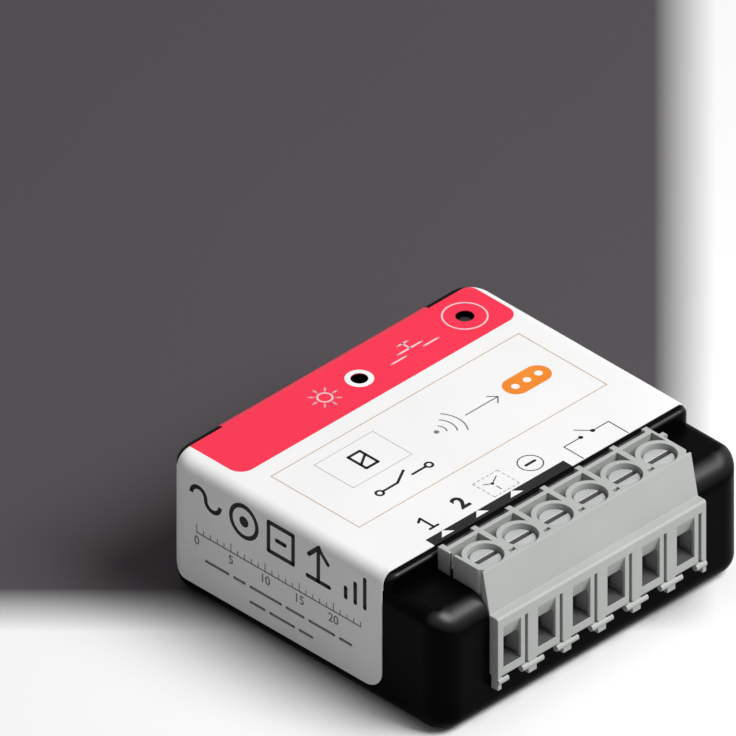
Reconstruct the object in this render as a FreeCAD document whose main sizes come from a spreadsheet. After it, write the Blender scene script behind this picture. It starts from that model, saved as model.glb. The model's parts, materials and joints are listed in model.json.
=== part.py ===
import FreeCAD, Part
import math
import os
import re
import Sketcher

# Smart relay module for a flush wall box.
# A black two-piece case carries one circuit board. The six-pole terminal block stands on the
# front edge of the board and hooks over the front wall of the case.
# Millimetres. Origin: centre of the case's bottom face. +X runs along the terminal row,
# -Y is the terminal side, +Z is up. Heights are measured from the bottom face, and sizes named
# after the front are measured backwards from the case's front face.

SIZES = {
    # case, board and cover
    "case_length": 44.5,
    "case_depth": 40.6,
    "case_height": 16.9,
    "corner_radius": 3.05,
    "case_wall": 1.5,
    "floor_thickness": 1.3,
    "bottom_fillet": 2.0,
    "plinth_height": 0.2,
    "plinth_inset": 3.4,
    "step_height": 1.9,
    "shelf_depth": 7.83,
    "shelf_roof": 1.5,
    "shelf_front_fillet": 3.0,
    "shelf_side_fillet": 1.5,
    "lip_height": 5.3,
    "post_radius": 1.6,
    "post_inset": 2.2,
    "peg_radius": 0.7,
    "cover_plate": 1.4,
    "cover_fillet": 1.4,
    "cover_front_fillet": 0.55,
    "cover_front_wall": 1.2,
    "cover_step_corner": 1.6,
    "cover_lip_thickness": 0.9,
    "cover_lip_drop": 1.2,
    "skirt_drop": 2.4,
    "fit_gap": 0.15,
    "snap_width": 4.0,
    "snap_reach": 0.35,
    "snap_height": 1.2,
    "snap_drop": 3.4,
    "snap_land": 0.3,
    "snap_spacing": 16.0,
    "hold_down_radius": 0.9,
    "hold_down_left": 4.15,
    "hold_down_middle": 8.0,
    "hold_down_right": 2.35,
    "hold_down_front": 26.8,
    "hold_down_back": 3.1,
    "board_thickness": 1.6,
    "board_height": 2.7,
    "board_gap": 0.3,
    "board_corner": 1.3,
    "lead_length": 1.15,
    "lead_hole_gap": 0.12,
    # label
    "label_thickness": 0.1,
    "label_front": 8.82,
    "label_bottom": 2.25,
    "label_corner": 2.4,
    "label_back_margin": 0.85,
    "label_side_margin": 0.6,
    "label_tab_width": 30.1,
    "label_tab_drop": 3.0,
    "label_tab_lap": 5.0,
    # terminal block
    "pole_count": 6,
    "pole_pitch": 5.08,
    "block_overhang": 1.1,
    "block_top": 17.7,
    "block_back": 7.05,
    "block_back_wall": 0.5,
    "slope_top": 1.1,
    "slope_foot": 0.1,
    "ledge_height": 12.75,
    "ridge_fillet": 0.3,
    "frame_bottom": 5.4,
    "screw_line": 3.27,
    "tower_radius": 2.5,
    "pocket_depth": 2.2,
    "rib_thickness": 0.7,
    "rib_height": 3.2,
    "well_radius": 1.96,
    "well_depth": 2.4,
    "pit_length": 0.85,
    "pit_width": 0.45,
    "pit_line": 1.95,
    "pit_depth": 1.6,
    "mouth_left": 1.75,
    "mouth_right": 0.82,
    "mouth_floor": 6.3,
    "mouth_roof": 11.5,
    "mouth_throat": 9.5,
    "mouth_slope": 0.75,
    "entry_half_width": 1.2,
    "entry_floor": 6.7,
    "entry_roof": 9.4,
    "slot_left": 1.42,
    "slot_width": 0.43,
    "slot_depth": 1.5,
    "divider_width": 1.15,
    "end_wall": 0.5,
    "foot_bottom": 3.8,
    "foot_gap": 0.12,
    "lug_radius": 0.38,
    "lug_reach": 0.98,
    "lug_height": 4.8,
    "key_depth": 0.8,
    "key_height": 5.0,
    "key_line": 5.9,
    "key_width": 0.7,
    "relief_start": 0.1,
    "relief_end": 0.85,
    "relief_depth": 0.45,
    # clamps
    "chamber_width": 3.84,
    "chamber_front": 1.4,
    "chamber_back": 5.2,
    "chamber_top": 14.5,
    "cage_side_gap": 0.08,
    "cage_wall": 0.55,
    "cage_floor": 0.8,
    "cage_thread_plate": 1.3,
    "cage_bottom": 5.8,
    "cage_opening": 3.9,
    "cage_corner": 0.35,
    "screw_radius": 1.25,
    "screw_running_gap": 0.05,
    "screw_head_radius": 1.8,
    "screw_head_height": 1.85,
    "screw_head_chamfer": 0.2,
    "screw_head_seat_gap": 0.05,
    "screw_slot_width": 0.6,
    "screw_slot_depth": 0.9,
    "screw_tip_gap": 0.15,
    "bar_thickness": 0.8,
    "bar_width": 2.2,
    "bar_height": 9.55,
    "bar_front": 1.55,
    "bar_back": 6.15,
    "pin_width": 1.0,
    # relay, its inner places measured from the left end of its case
    "relay_front": 9.9,
    "relay_gap": 1.15,
    "relay_side_gap": 2.25,
    "relay_headroom": 1.2,
    "relay_case_wall": 0.6,
    "relay_fit": 0.05,
    "relay_base_thickness": 1.3,
    "stand_height": 0.3,
    "stand_size": 1.5,
    "stand_end_inset": 1.0,
    "stand_side_inset": 0.3,
    "stand_pin_inset": 1.6,
    "stand_wall_inset": 0.6,
    "barrier_gap": 0.3,
    "barrier_thickness": 0.6,
    "barrier_end_gap": 1.2,
    "relay_pin_radius": 0.4,
    "relay_pin_play": 0.05,
    "coil_pin_start": 5.5,
    "coil_pin_reach": 2.0,
    "common_pin_back": 1.5,
    "common_pin_front": 3.0,
    "coil_side_gap": 0.65,
    "coil_inset": 0.2,
    "winding_play": 0.02,
    "spool_start": 2.2,
    "flange_thickness": 0.7,
    "flange_foot_gap": 0.55,
    "flange_top_gap": 0.15,
    "core_play": 0.03,
    "core_head": 0.5,
    "core_gap": 0.45,
    "pole_face_inset": 0.75,
    "pole_face_thickness": 0.45,
    "yoke_thickness": 1.0,
    "yoke_start": 1.1,
    "yoke_reach": 0.15,
    "yoke_headroom": 0.3,
    "armature_back": 3.25,
    "armature_gap": 0.08,
    "armature_thickness": 0.9,
    "armature_bottom": 2.3,
    "spring_thickness": 0.18,
    "spring_inset": 0.6,
    "contact_side_gap": 2.95,
    "contact_wall_gap": 2.7,
    "contact_height": 3.7,
    "contact_radius": 1.1,
    "contact_thickness": 0.45,
    "contact_gap": 0.42,
    "contact_blade": 0.5,
    "contact_post_reach": 1.2,
    # push button and indicator
    "button_side": 5.55,
    "button_back": 4.9,
    "button_hole_radius": 1.0,
    "button_guide_gap": 0.08,
    "button_recess": 0.45,
    "button_chamfer": 0.25,
    "button_flange_radius": 1.7,
    "button_flange_height": 0.8,
    "button_flange_gap": 0.15,
    "guide_boss_radius": 1.9,
    "guide_boss_drop": 2.2,
    "switch_size": 4.5,
    "switch_floor": 0.7,
    "switch_body_height": 2.3,
    "switch_cover_thickness": 0.3,
    "switch_stem_radius": 1.15,
    "switch_stem_collar": 1.6,
    "switch_stem_height": 3.9,
    "stem_nub_radius": 0.5,
    "stem_nub_height": 0.4,
    "switch_lead_length": 0.8,
    "switch_lead_width": 0.7,
    "switch_lead_spacing": 2.8,
    "switch_lead_thickness": 0.25,
    "dome_radius": 1.75,
    "dome_rise": 0.4,
    "dome_thickness": 0.12,
    "indicator_x": 1.05,
    "indicator_back": 5.1,
    "indicator_hole_radius": 0.93,
    "indicator_boss_drop": 1.0,
    "light_guide_gap": 0.06,
    "light_guide_recess": 1.3,
    "light_guide_head": 1.5,
    "led_length": 1.6,
    "led_width": 0.9,
    "led_height": 0.7,
    # parts on the board: gaps to the neighbour on their left, or to the wall beside them
    "film_cap_lead": 0.35,
    "thin_lead": 0.3,
    "lying_lead": 0.26,
    "lead_elbow": 0.45,
    "film_cap_length": 12.5,
    "film_cap_width": 5.5,
    "film_cap_headroom": 1.0,
    "film_cap_side_gap": 1.3,
    "film_cap_front": 9.95,
    "film_cap_lead_inset": 1.25,
    "varistor_radius": 4.2,
    "varistor_thickness": 3.4,
    "varistor_stand": 1.0,
    "varistor_side_gap": 1.15,
    "varistor_gap": 0.85,
    "varistor_lead_reach": 2.5,
    "fuse_radius": 1.3,
    "fuse_length": 4.6,
    "fuse_stand": 0.2,
    "fuse_gap": 1.1,
    "fuse_front_gap": 0.45,
    "fuse_lead_reach": 3.1,
    "can_radius": 3.15,
    "can_groove": 0.25,
    "can_groove_start": 1.2,
    "can_chamfer": 0.4,
    "can_stand": 0.05,
    "can_side_gap": 0.7,
    "can_gap": 0.2,
    "can_front": 24.4,
    "can_end_gap": 3.7,
    "can_lead_reach": 1.25,
    "can_lead_bend": 1.2,
    "choke_radius": 2.4,
    "choke_height": 5.4,
    "choke_flange": 0.8,
    "choke_waist": 0.4,
    "choke_gap": 0.6,
    "choke_front": 23.5,
    "choke_lead_reach": 1.6,
    "rectifier_length": 4.7,
    "rectifier_width": 3.9,
    "rectifier_height": 2.4,
    "rectifier_legs": 2,
    "rectifier_gap": 0.15,
    "rectifier_front": 17.9,
    "controller_length": 4.9,
    "controller_width": 3.9,
    "controller_height": 1.6,
    "controller_legs": 4,
    "controller_gap": 0.2,
    "controller_front": 29.2,
    "optocoupler_length": 2.7,
    "optocoupler_width": 3.6,
    "optocoupler_height": 2.1,
    "optocoupler_legs": 2,
    "optocoupler_gap": 1.2,
    "optocoupler_front": 11.9,
    "leg_pitch": 1.27,
    "leg_width": 0.4,
    "leg_reach": 0.9,
    "leg_thickness": 0.2,
    "resistor_length": 1.6,
    "resistor_width": 0.8,
    "resistor_height": 0.5,
    "resistor_pitch": 2.4,
    "resistor_row_count": 4,
    "resistor_gap": 2.65,
    "resistor_back": 3.9,
    "resistor_step": 1.0,
    # radio
    "radio_gap": 1.55,
    "radio_side_gap": 7.15,
    "radio_front_gap": 1.7,
    "radio_back_gap": 2.7,
    "radio_thickness": 0.8,
    "radio_chip_margin": 1.2,
    "radio_chip_height": 0.9,
    "shield_margin": 0.4,
    "shield_height": 1.9,
    "shield_wall": 0.2,
    "antenna_zone": 3.8,
    "antenna_wire": 0.35,
    "antenna_pitch": 0.75,
    "antenna_runs": 4,
    "antenna_margin": 0.6,
    "antenna_end_gap": 0.4,
}

sheet_document = FreeCAD.newDocument("smart_relay_module")
sheet = sheet_document.addObject("Spreadsheet::Sheet", "Sizes")
for row, (alias, value) in enumerate(SIZES.items(), 1):
    sheet.set(f"A{row}", str(value))
    sheet.setAlias(f"A{row}", alias)
sheet_document.recompute()

WORD = re.compile(r"[a-z][a-z_]*[a-z]")
nodes = []

# Expressions that several sub-parts share.
FRONT = "(-case_depth / 2)"
BACK = "(case_depth / 2)"
LEFT = "(case_wall - case_length / 2)"
RIGHT = "(case_length / 2 - case_wall)"
DECK = "(board_height + board_thickness)"
CEILING = "(case_height - cover_plate)"
SHELF = "(case_height - step_height)"
BLOCK_LENGTH = "(pole_count * pole_pitch)"
BLOCK_FACE = f"({FRONT} - block_overhang)"
BLOCK_REAR = f"({FRONT} + block_back)"
FIRST_POLE = "(-(pole_count - 1) * pole_pitch / 2)"
BOUNDARY = f"({FIRST_POLE} + pole_pitch / 2)"
SCREW_Y = f"({FRONT} + screw_line)"
BUTTON_X = "(case_length / 2 - button_side)"
BUTTON_Y = f"({BACK} - button_back)"
STEM_TOP = f"({DECK} + switch_stem_height)"
INDICATOR_Y = f"({BACK} - indicator_back)"

# The parts on the board stand in rows that start at the left wall.
FILM_CAP_X = f"({LEFT} + film_cap_side_gap + film_cap_length / 2)"
FILM_CAP_Y = f"({FRONT} + film_cap_front + film_cap_width / 2)"
FILM_CAP_BACK = f"({FILM_CAP_Y} + film_cap_width / 2)"
FILM_CAP_HEIGHT = f"({CEILING} - {DECK} - film_cap_headroom)"
OPTOCOUPLER_X = f"({FILM_CAP_X} + film_cap_length / 2 + optocoupler_gap + optocoupler_length / 2)"
OPTOCOUPLER_Y = f"({FRONT} + optocoupler_front)"
VARISTOR_X = f"({LEFT} + varistor_side_gap + varistor_radius)"
VARISTOR_Y = f"({FILM_CAP_BACK} + varistor_gap + varistor_thickness / 2)"
FUSE_X = f"({VARISTOR_X} + varistor_radius + fuse_gap + fuse_radius)"
FUSE_Y = f"({FILM_CAP_BACK} + fuse_front_gap + fuse_lead_reach)"
RECTIFIER_X = f"({FUSE_X} + fuse_radius + rectifier_gap + rectifier_length / 2)"
RECTIFIER_Y = f"({FRONT} + rectifier_front)"
CANS_END = f"({LEFT} + can_side_gap + 4 * can_radius + can_gap)"
CAN_FOOT = f"({FRONT} + can_front)"
CAN_LENGTH = f"({BACK} - case_wall - can_end_gap - {CAN_FOOT})"
CONTROLLER_X = f"({CANS_END} + controller_gap + controller_length / 2)"
CONTROLLER_Y = f"({FRONT} + controller_front)"

# The relay and the radio board fill what the rows leave up to the right wall. The relay's coil
# fills the height under the cover, and the relay is as wide as its coil and contacts need.
RELAY_X = f"({RECTIFIER_X} + rectifier_length / 2 + relay_gap)"
RELAY_END = f"({RIGHT} - relay_side_gap)"
RELAY_Y = f"({FRONT} + relay_front)"
RELAY_HEIGHT = f"({CEILING} - {DECK} - relay_headroom)"
YOKE_TOP = f"({RELAY_HEIGHT} - relay_case_wall - yoke_headroom)"
FLANGE = f"({YOKE_TOP} - yoke_thickness - relay_base_thickness - flange_foot_gap - flange_top_gap)"
COIL_Y = f"({RELAY_Y} + relay_case_wall + coil_side_gap + {FLANGE} / 2)"
COIL_Z = f"({DECK} + relay_base_thickness + flange_foot_gap + {FLANGE} / 2)"
COIL_RADIUS = f"({FLANGE} / 2 - coil_inset)"
SPOOL_RADIUS = f"(2 * {COIL_RADIUS} / 3)"
CORE_RADIUS = f"(2 * {SPOOL_RADIUS} / 3)"
YOKE_HALF = f"({FLANGE} / 2 + yoke_reach)"
CONTACT_Y = f"({COIL_Y} + {FLANGE} / 2 + contact_side_gap)"
RELAY_BACK = f"({CONTACT_Y} + contact_wall_gap)"
ARMATURE_X = f"({RELAY_END} - armature_back)"
CORE_END = f"({ARMATURE_X} - core_gap)"
SPOOL_START = f"({RELAY_X} + spool_start)"
SPOOL_END = f"({CORE_END} - core_head)"
FIXED_FACE = f"({ARMATURE_X} - contact_gap)"
CHOKE_X = f"({RELAY_X} - choke_gap - choke_radius)"
CHOKE_Y = f"({FRONT} + choke_front)"
RADIO_X = f"({CONTROLLER_X} + controller_length / 2 + radio_gap)"
RADIO_END = f"({RIGHT} - radio_side_gap)"
RADIO_Y = f"({RELAY_BACK} + radio_front_gap)"
RADIO_BACK = f"({INDICATOR_Y} - radio_back_gap)"

# Chip resistors in two rows: the first one's place and the row's distance from the back.
RESISTOR_ROWS = [
    ("(indicator_x - resistor_gap - (resistor_row_count - 1) * resistor_pitch)", "resistor_back"),
    ("(indicator_x + resistor_gap)", "(resistor_back + resistor_step)"),
]

# Free spots of the board where the cover's posts come down: x and y.
HOLD_DOWNS = [
    (f"{LEFT} + hold_down_left", f"{BACK} - hold_down_back"),
    ("hold_down_middle", f"{BACK} - hold_down_back"),
    (f"{RIGHT} - hold_down_right", f"{FRONT} + hold_down_front"),
]


def named(expression):
    """Points each size word of an expression at its cell in the sheet."""
    return WORD.sub(lambda m: f"Sizes.{m.group()}" if m.group() in SIZES else m.group(), str(expression))


def number(expression):
    return float(sheet.evalExpression(named(expression)))


def bind(item, prop, expression):
    item.setExpression(prop, named(expression))


def finish(item, label):
    """Gives a sub-part its node name and puts it on the export list."""
    item.Label = label
    nodes.append(item)
    return item


def place(item, x, y, z):
    for axis, expression in zip("xyz", (x, y, z)):
        bind(item, f"Placement.Base.{axis}", expression)


# Sketches and part design features

def new_body(label):
    return finish(sheet_document.addObject("PartDesign::Body", label), label)


def origin_item(owner, role):
    return [item for item in owner.Origin.OriginFeatures if item.Role == role][0]


def new_sketch(owner, role, lift="0"):
    """An empty sketch on one of the body's own planes, lifted along the plane's normal."""
    made = owner.newObject("Sketcher::SketchObject", f"{owner.Name}_sketch")
    made.AttachmentSupport = [(origin_item(owner, role), "")]
    made.MapMode = "FlatFace"
    bind(made, "AttachmentOffset.Base.z", lift)
    return made


def hold(made, kind, geometry, point, expression):
    index = made.addConstraint(Sketcher.Constraint(kind, -1, 1, geometry, point, number(expression)))
    made.setExpression(f"Constraints[{index}]", named(expression))


def outline(made, corners):
    """A closed outline through corners, each held to the origin by two sizes."""
    first = made.GeometryCount
    points = [FreeCAD.Vector(number(x), number(y), 0) for x, y in corners]
    total = len(points)
    for index, point in enumerate(points):
        made.addGeometry(Part.LineSegment(point, points[(index + 1) % total]), False)
    for index in range(total):
        following = first + (index + 1) % total
        made.addConstraint(Sketcher.Constraint("Coincident", first + index, 2, following, 1))
    for index, (x, y) in enumerate(corners):
        hold(made, "DistanceX", first + index, 1, x)
        hold(made, "DistanceY", first + index, 1, y)


def rectangle(made, left, low, right, high):
    outline(made, [(left, low), (right, low), (right, high), (left, high)])


def circle(made, x, y, radius):
    centre = FreeCAD.Vector(number(x), number(y), 0)
    index = made.addGeometry(Part.Circle(centre, FreeCAD.Vector(0, 0, 1), number(radius)), False)
    hold(made, "DistanceX", index, 3, x)
    hold(made, "DistanceY", index, 3, y)
    limit = made.addConstraint(Sketcher.Constraint("Radius", index, number(radius)))
    made.setExpression(f"Constraints[{limit}]", named(radius))


def extrude(owner, kind, made, length, ahead, both=False):
    """A pad or pocket. ahead is true where it runs along the sketch's normal."""
    feature = owner.newObject(f"PartDesign::{kind}", f"{owner.Name}_{kind.lower()}")
    feature.Profile = made
    feature.Reversed = ahead if kind == "Pocket" else not ahead
    if both:
        feature.SideType = "Symmetric"
    bind(feature, "Length", length)
    owner.Tip = feature
    return feature


def pad(owner, made, length, ahead=True, both=False):
    return extrude(owner, "Pad", made, length, ahead, both)


def pocket(owner, made, length, ahead=False):
    return extrude(owner, "Pocket", made, length, ahead)


def revolve(owner, made):
    feature = owner.newObject("PartDesign::Revolution", f"{owner.Name}_revolution")
    feature.Profile = made
    feature.ReferenceAxis = (made, ["V_Axis"])
    feature.Angle = 360
    owner.Tip = feature
    return feature


def row_of(owner, originals, count, pitch, label):
    """Repeats features along +X."""
    feature = owner.newObject("PartDesign::LinearPattern", label)
    feature.Originals = originals
    feature.Direction = (origin_item(owner, "X_Axis"), [""])
    bind(feature, "Length", f"({count} - 1) * {pitch}")
    bind(feature, "Occurrences", count)
    owner.Tip = feature
    return feature


def round_edges(owner, radius, wanted):
    """A fillet on each edge of the body's tip that the test wants."""
    sheet_document.recompute()
    tip = owner.Tip
    names = [f"Edge{index}" for index, edge in enumerate(tip.Shape.Edges, 1) if wanted(edge)]
    feature = owner.newObject("PartDesign::Fillet", f"{owner.Name}_fillet")
    feature.Base = (tip, names)
    bind(feature, "Radius", radius)
    owner.Tip = feature
    return feature


def is_upright(edge):
    box = edge.BoundBox
    return box.ZLength > 0.05 and box.XLength < 0.001 and box.YLength < 0.001


# Primitives

def box(label, x0, y0, z0, x1, y1, z1):
    item = sheet_document.addObject("Part::Box", label)
    bind(item, "Length", f"({x1}) - ({x0})")
    bind(item, "Width", f"({y1}) - ({y0})")
    bind(item, "Height", f"({z1}) - ({z0})")
    place(item, x0, y0, z0)
    return item


def rod(label, x, y, z, radius, length, axis="z"):
    item = sheet_document.addObject("Part::Cylinder", label)
    bind(item, "Radius", radius)
    bind(item, "Height", length)
    if axis == "x":
        item.Placement.Rotation = FreeCAD.Rotation(FreeCAD.Vector(0, 1, 0), 90)
    if axis == "y":
        item.Placement.Rotation = FreeCAD.Rotation(FreeCAD.Vector(1, 0, 0), -90)
    place(item, x, y, z)
    return item


def fused(label, items):
    item = sheet_document.addObject("Part::MultiFuse", label)
    item.Shapes = items
    return item


def less(label, base, items):
    """The base with the items cut away."""
    item = sheet_document.addObject("Part::Cut", label)
    item.Base = base
    item.Tool = items[0] if len(items) == 1 else fused(f"{label}_cutters", items)
    return item


def group(label, items):
    item = sheet_document.addObject("Part::Compound", label)
    item.Links = items
    return finish(item, label)


def feature(label, shape):
    item = sheet_document.addObject("Part::Feature", label)
    item.Shape = shape
    return finish(item, label)


# Shapes worked out with plain solids, for the case parts whose fillets change along an edge

def block_solid(x0, y0, z0, x1, y1, z1):
    return Part.makeBox(x1 - x0, y1 - y0, z1 - z0, FreeCAD.Vector(x0, y0, z0))


def fillet_where(shape, radius, wanted):
    return shape.makeFillet(radius, [edge for edge in shape.Edges if wanted(edge)])


def upright_at(edge, low_y, high_y):
    centre = edge.CenterOfMass
    return is_upright(edge) and low_y <= centre.y <= high_y


def lies_at(edge, height):
    return abs(edge.BoundBox.ZMin - height) < 0.001 and abs(edge.BoundBox.ZMax - height) < 0.001


def evolving_fillet(label, shape, edges_and_radii):
    """A fillet whose radius changes along some of its edges."""
    base = sheet_document.addObject("Part::Feature", f"{label}_blank")
    base.Shape = shape
    item = sheet_document.addObject("Part::Fillet", f"{label}_rounded")
    item.Base = base
    item.Edges = edges_and_radii
    sheet_document.recompute()
    return item.Shape


def edge_radii(shape, height, keep, radius_at):
    """Numbers the level edges at a height, with the radius wanted at each of their two ends.
    The chain of edges runs against their own directions, so the far end's radius comes first."""
    found = []
    for index, edge in enumerate(shape.Edges, 1):
        if lies_at(edge, height) and keep(edge.CenterOfMass):
            start = edge.valueAt(edge.FirstParameter)
            end = edge.valueAt(edge.LastParameter)
            found.append((index, radius_at(end), radius_at(start)))
    return found


def mirrored(shape):
    """Joins the right half of a form to its mirror image in the plane X = 0."""
    other = shape.mirror(FreeCAD.Vector(0, 0, 0), FreeCAD.Vector(1, 0, 0))
    return shape.fuse(other)


def case_outer():
    """The closed outer form of the case below the seam, with its rounded shelf."""
    half = number("case_length") / 2
    front = number(FRONT)
    back = number(BACK)
    step = front + number("shelf_depth")
    low = number("plinth_height")
    top = number(SHELF)
    bottom = number("bottom_fillet")
    step_corner = number("cover_step_corner")
    nose_end = step + 1.5 * step_corner

    def at_rim(centre):
        return centre.x > 0.01 and centre.y < nose_end - 0.01

    nose = block_solid(0, front, low, half, nose_end, top)
    nose = fillet_where(nose, number("corner_radius"),
                        lambda edge: upright_at(edge, front - 1, front + 0.001) and edge.CenterOfMass.x > 1)
    nose = fillet_where(nose, bottom, lambda edge: lies_at(edge, low) and at_rim(edge.CenterOfMass))
    front_radius = number("shelf_front_fillet")
    side_radius = number("shelf_side_fillet")

    def radius_at(point):
        return front_radius if point.y < front + 0.01 else side_radius

    nose = mirrored(evolving_fillet("shelf", nose, edge_radii(nose, top, at_rim, radius_at)))

    # the walls behind the step share the cover's rounded front corners above the shelf
    upper = block_solid(-half, step, top - 2 * number("shelf_side_fillet"), half, nose_end, top)
    upper = fillet_where(upper, step_corner, lambda edge: upright_at(edge, step - 1, step + 0.001))
    tail = block_solid(-half, nose_end, low, half, back, top)
    tail = fillet_where(tail, number("corner_radius"), lambda edge: upright_at(edge, back - 0.001, back + 1))
    tail = fillet_where(tail, bottom,
                        lambda edge: lies_at(edge, low) and edge.CenterOfMass.y > nose_end + 0.01)

    # a low plinth with four sharp corners makes the flat face that the case rests on
    inset = number("plinth_inset")
    plinth = block_solid(inset - half, front + inset, 0, half - inset, back - inset, low + 0.1)
    return nose.fuse([upper, tail, plinth]).removeSplitter()


def inner_space(low, high, start):
    """The space inside the case walls between two heights, from start to the back wall."""
    wall = number("case_wall")
    half = number("case_length") / 2 - wall
    back = number(BACK) - wall
    front_wall = number(FRONT) + wall
    space = block_solid(-half, start, low, half, back, high)
    reach = number("corner_radius") - wall

    def at_a_wall(edge):
        at_front = upright_at(edge, front_wall - 1, front_wall + 0.001)
        return at_front or upright_at(edge, back - 0.001, back + 1)

    return fillet_where(space, reach, at_a_wall)


def snap_places():
    """The Y of each snap hook along a side wall."""
    middle = (number(FRONT) + number("shelf_depth") + number(BACK)) / 2
    spacing = number("snap_spacing")
    return [middle - spacing / 2, middle + spacing / 2]


def make_base_case():
    wall = number("case_wall")
    half = number("case_length") / 2
    front = number(FRONT)
    top = number(SHELF)
    floor = number("floor_thickness")
    roof = top - number("shelf_roof")
    roof_end = front + number("shelf_depth") + number("cover_front_wall")
    shape = case_outer()
    shape = shape.cut(inner_space(floor, roof, front + wall))
    shape = shape.cut(inner_space(roof - 1, top + 1, roof_end))
    gap = number("fit_gap")
    notch = number(BLOCK_LENGTH) / 2 + gap
    shape = shape.cut(block_solid(-notch, front - 1, number("lip_height"), notch, roof_end, top + 1))
    key_y = front + number("key_line")
    key_space = block_solid(notch - 0.1, key_y - number("key_width") - gap,
                            number("block_top") - number("key_height") - gap,
                            notch + number("key_depth"), key_y + gap, top + 1)
    shape = shape.cut(key_space)
    inner = half - wall
    hook_top = top - number("snap_drop") + number("snap_height")
    for side in (-1, 1):
        for y in snap_places():
            reach = number("snap_width") / 2 + gap
            depth = number("snap_reach") + gap
            edges = sorted([side * (inner - 0.5), side * (inner + depth)])
            window = block_solid(edges[0], y - reach, hook_top - number("snap_height") - gap,
                                 edges[1], y + reach, hook_top + gap)
            shape = shape.cut(window)
    for x, y in post_places():
        post = Part.makeCylinder(number("post_radius"), number("board_height") - floor + 0.2,
                                 FreeCAD.Vector(x, y, floor - 0.2))
        peg = Part.makeCylinder(number("peg_radius"), number("board_thickness") + 0.4,
                                FreeCAD.Vector(x, y, number("board_height")))
        shape = shape.fuse(post)
        if x * y < 0:
            shape = shape.fuse(peg)
    feature("base_case", shape.removeSplitter())


def post_places():
    """The four posts that carry the board, near its corners."""
    x = number("case_length") / 2 - number("case_wall") - number("post_inset")
    front = number(FRONT) + number("case_wall") + number("post_inset")
    back = number(BACK) - number("case_wall") - number("post_inset")
    return [(-x, front), (x, front), (-x, back), (x, back)]


def cover_outer(grow, low):
    """The rounded outer form of the cover from a height upwards, grown outwards by an amount."""
    half = number("case_length") / 2 + grow
    step = number(FRONT) + number("shelf_depth")
    back = number(BACK) + grow
    middle = (step + back) / 2
    top = number("case_height") + grow
    side = number("cover_fillet") + grow
    nose_radius = number("cover_front_fillet")

    def at_rim(centre):
        return centre.x > 0.01 and centre.y < middle - 0.01

    nose = block_solid(0, step, low, half, middle, top)
    nose = fillet_where(nose, number("cover_step_corner"),
                        lambda edge: upright_at(edge, step - 1, step + 0.001) and edge.CenterOfMass.x > 1)

    def radius_at(point):
        return nose_radius if point.y < step + 0.01 else side

    nose = mirrored(evolving_fillet("cover", nose, edge_radii(nose, top, at_rim, radius_at)))

    tail = block_solid(-half, middle, low, half, back, top)
    tail = fillet_where(tail, number("corner_radius") + grow,
                        lambda edge: upright_at(edge, back - 0.001, back + 1))
    tail = fillet_where(tail, side,
                        lambda edge: lies_at(edge, top) and edge.CenterOfMass.y > middle + 0.01)
    return nose.fuse(tail).removeSplitter()


def make_top_cover():
    seam = number(SHELF)
    ceiling = number(CEILING)
    step = number(FRONT) + number("shelf_depth")
    front_wall = number("cover_front_wall")
    shape = cover_outer(0, seam)
    shape = shape.cut(inner_space(seam - 1, ceiling, step + front_wall))
    shape = shape.fuse(cover_lip())

    # skirt that closes the case behind the terminal block
    notch = number(BLOCK_LENGTH) / 2
    skirt = block_solid(-notch, step, seam - number("skirt_drop"), notch, step + front_wall, seam + 0.5)
    shape = shape.fuse([skirt] + snap_hooks() + hold_downs())
    feature("top_cover", with_guides(shape).removeSplitter())


def cover_lip():
    """The locating lip inside the side and back walls of the case."""
    wall = number("case_wall")
    gap = number("fit_gap")
    lip = number("cover_lip_thickness")
    low = number(SHELF) - number("cover_lip_drop")
    high = number(CEILING) + 0.2
    side = number("case_length") / 2 - wall - gap
    back = number(BACK) - wall - gap
    start = number(FRONT) + number("shelf_depth") + number("cover_front_wall") + gap
    ring = block_solid(-side, start, low, side, back, high)
    ring = fillet_where(ring, number("corner_radius") - wall,
                        lambda edge: upright_at(edge, back - 0.001, back + 1))
    return ring.cut(block_solid(-side + lip, start - 1, low - 1, side - lip, back - lip, high + 1))


def snap_hooks():
    """Arms with a barb that click into the windows in the case's side walls."""
    side = number("case_length") / 2 - number("case_wall") - number("fit_gap")
    half_width = number("snap_width") / 2
    low = number(SHELF) - number("snap_drop")
    barb_top = low + number("snap_height")
    hooks = []
    for direction in (-1, 1):
        face = direction * side
        point = direction * (side + number("snap_reach"))
        inner = direction * (side - number("cover_lip_thickness"))
        for y in snap_places():
            start = y - half_width
            hooks.append(block_solid(min(face, inner), start, low, max(face, inner), y + half_width,
                                     number(CEILING) + 0.2))
            barb = Part.makePolygon([
                FreeCAD.Vector(face, start, low),
                FreeCAD.Vector(point, start, barb_top - number("snap_land")),
                FreeCAD.Vector(point, start, barb_top),
                FreeCAD.Vector(face, start, barb_top),
                FreeCAD.Vector(face, start, low),
            ])
            hooks.append(Part.Face(barb).extrude(FreeCAD.Vector(0, 2 * half_width, 0)))
    return hooks


def hold_downs():
    """Posts that reach down to the board."""
    low = number(DECK) + 0.1
    reach = number(CEILING) + 0.2 - low
    return [Part.makeCylinder(number("hold_down_radius"), reach, FreeCAD.Vector(number(x), number(y), low))
            for x, y in HOLD_DOWNS]


def with_guides(shape):
    """Adds the guide bosses of the push button and the indicator and drills their holes."""
    ceiling = number(CEILING)
    for x, y, drop, hole in (
        (BUTTON_X, BUTTON_Y, number("guide_boss_drop"), number("button_hole_radius")),
        ("indicator_x", INDICATOR_Y, number("indicator_boss_drop"), number("indicator_hole_radius")),
    ):
        foot = FreeCAD.Vector(number(x), number(y), ceiling - drop)
        shape = shape.fuse(Part.makeCylinder(number("guide_boss_radius"), drop + 0.2, foot))
        shape = shape.cut(Part.makeCylinder(hole, number("case_height"), foot - FreeCAD.Vector(0, 0, 1)))
    return shape


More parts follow.
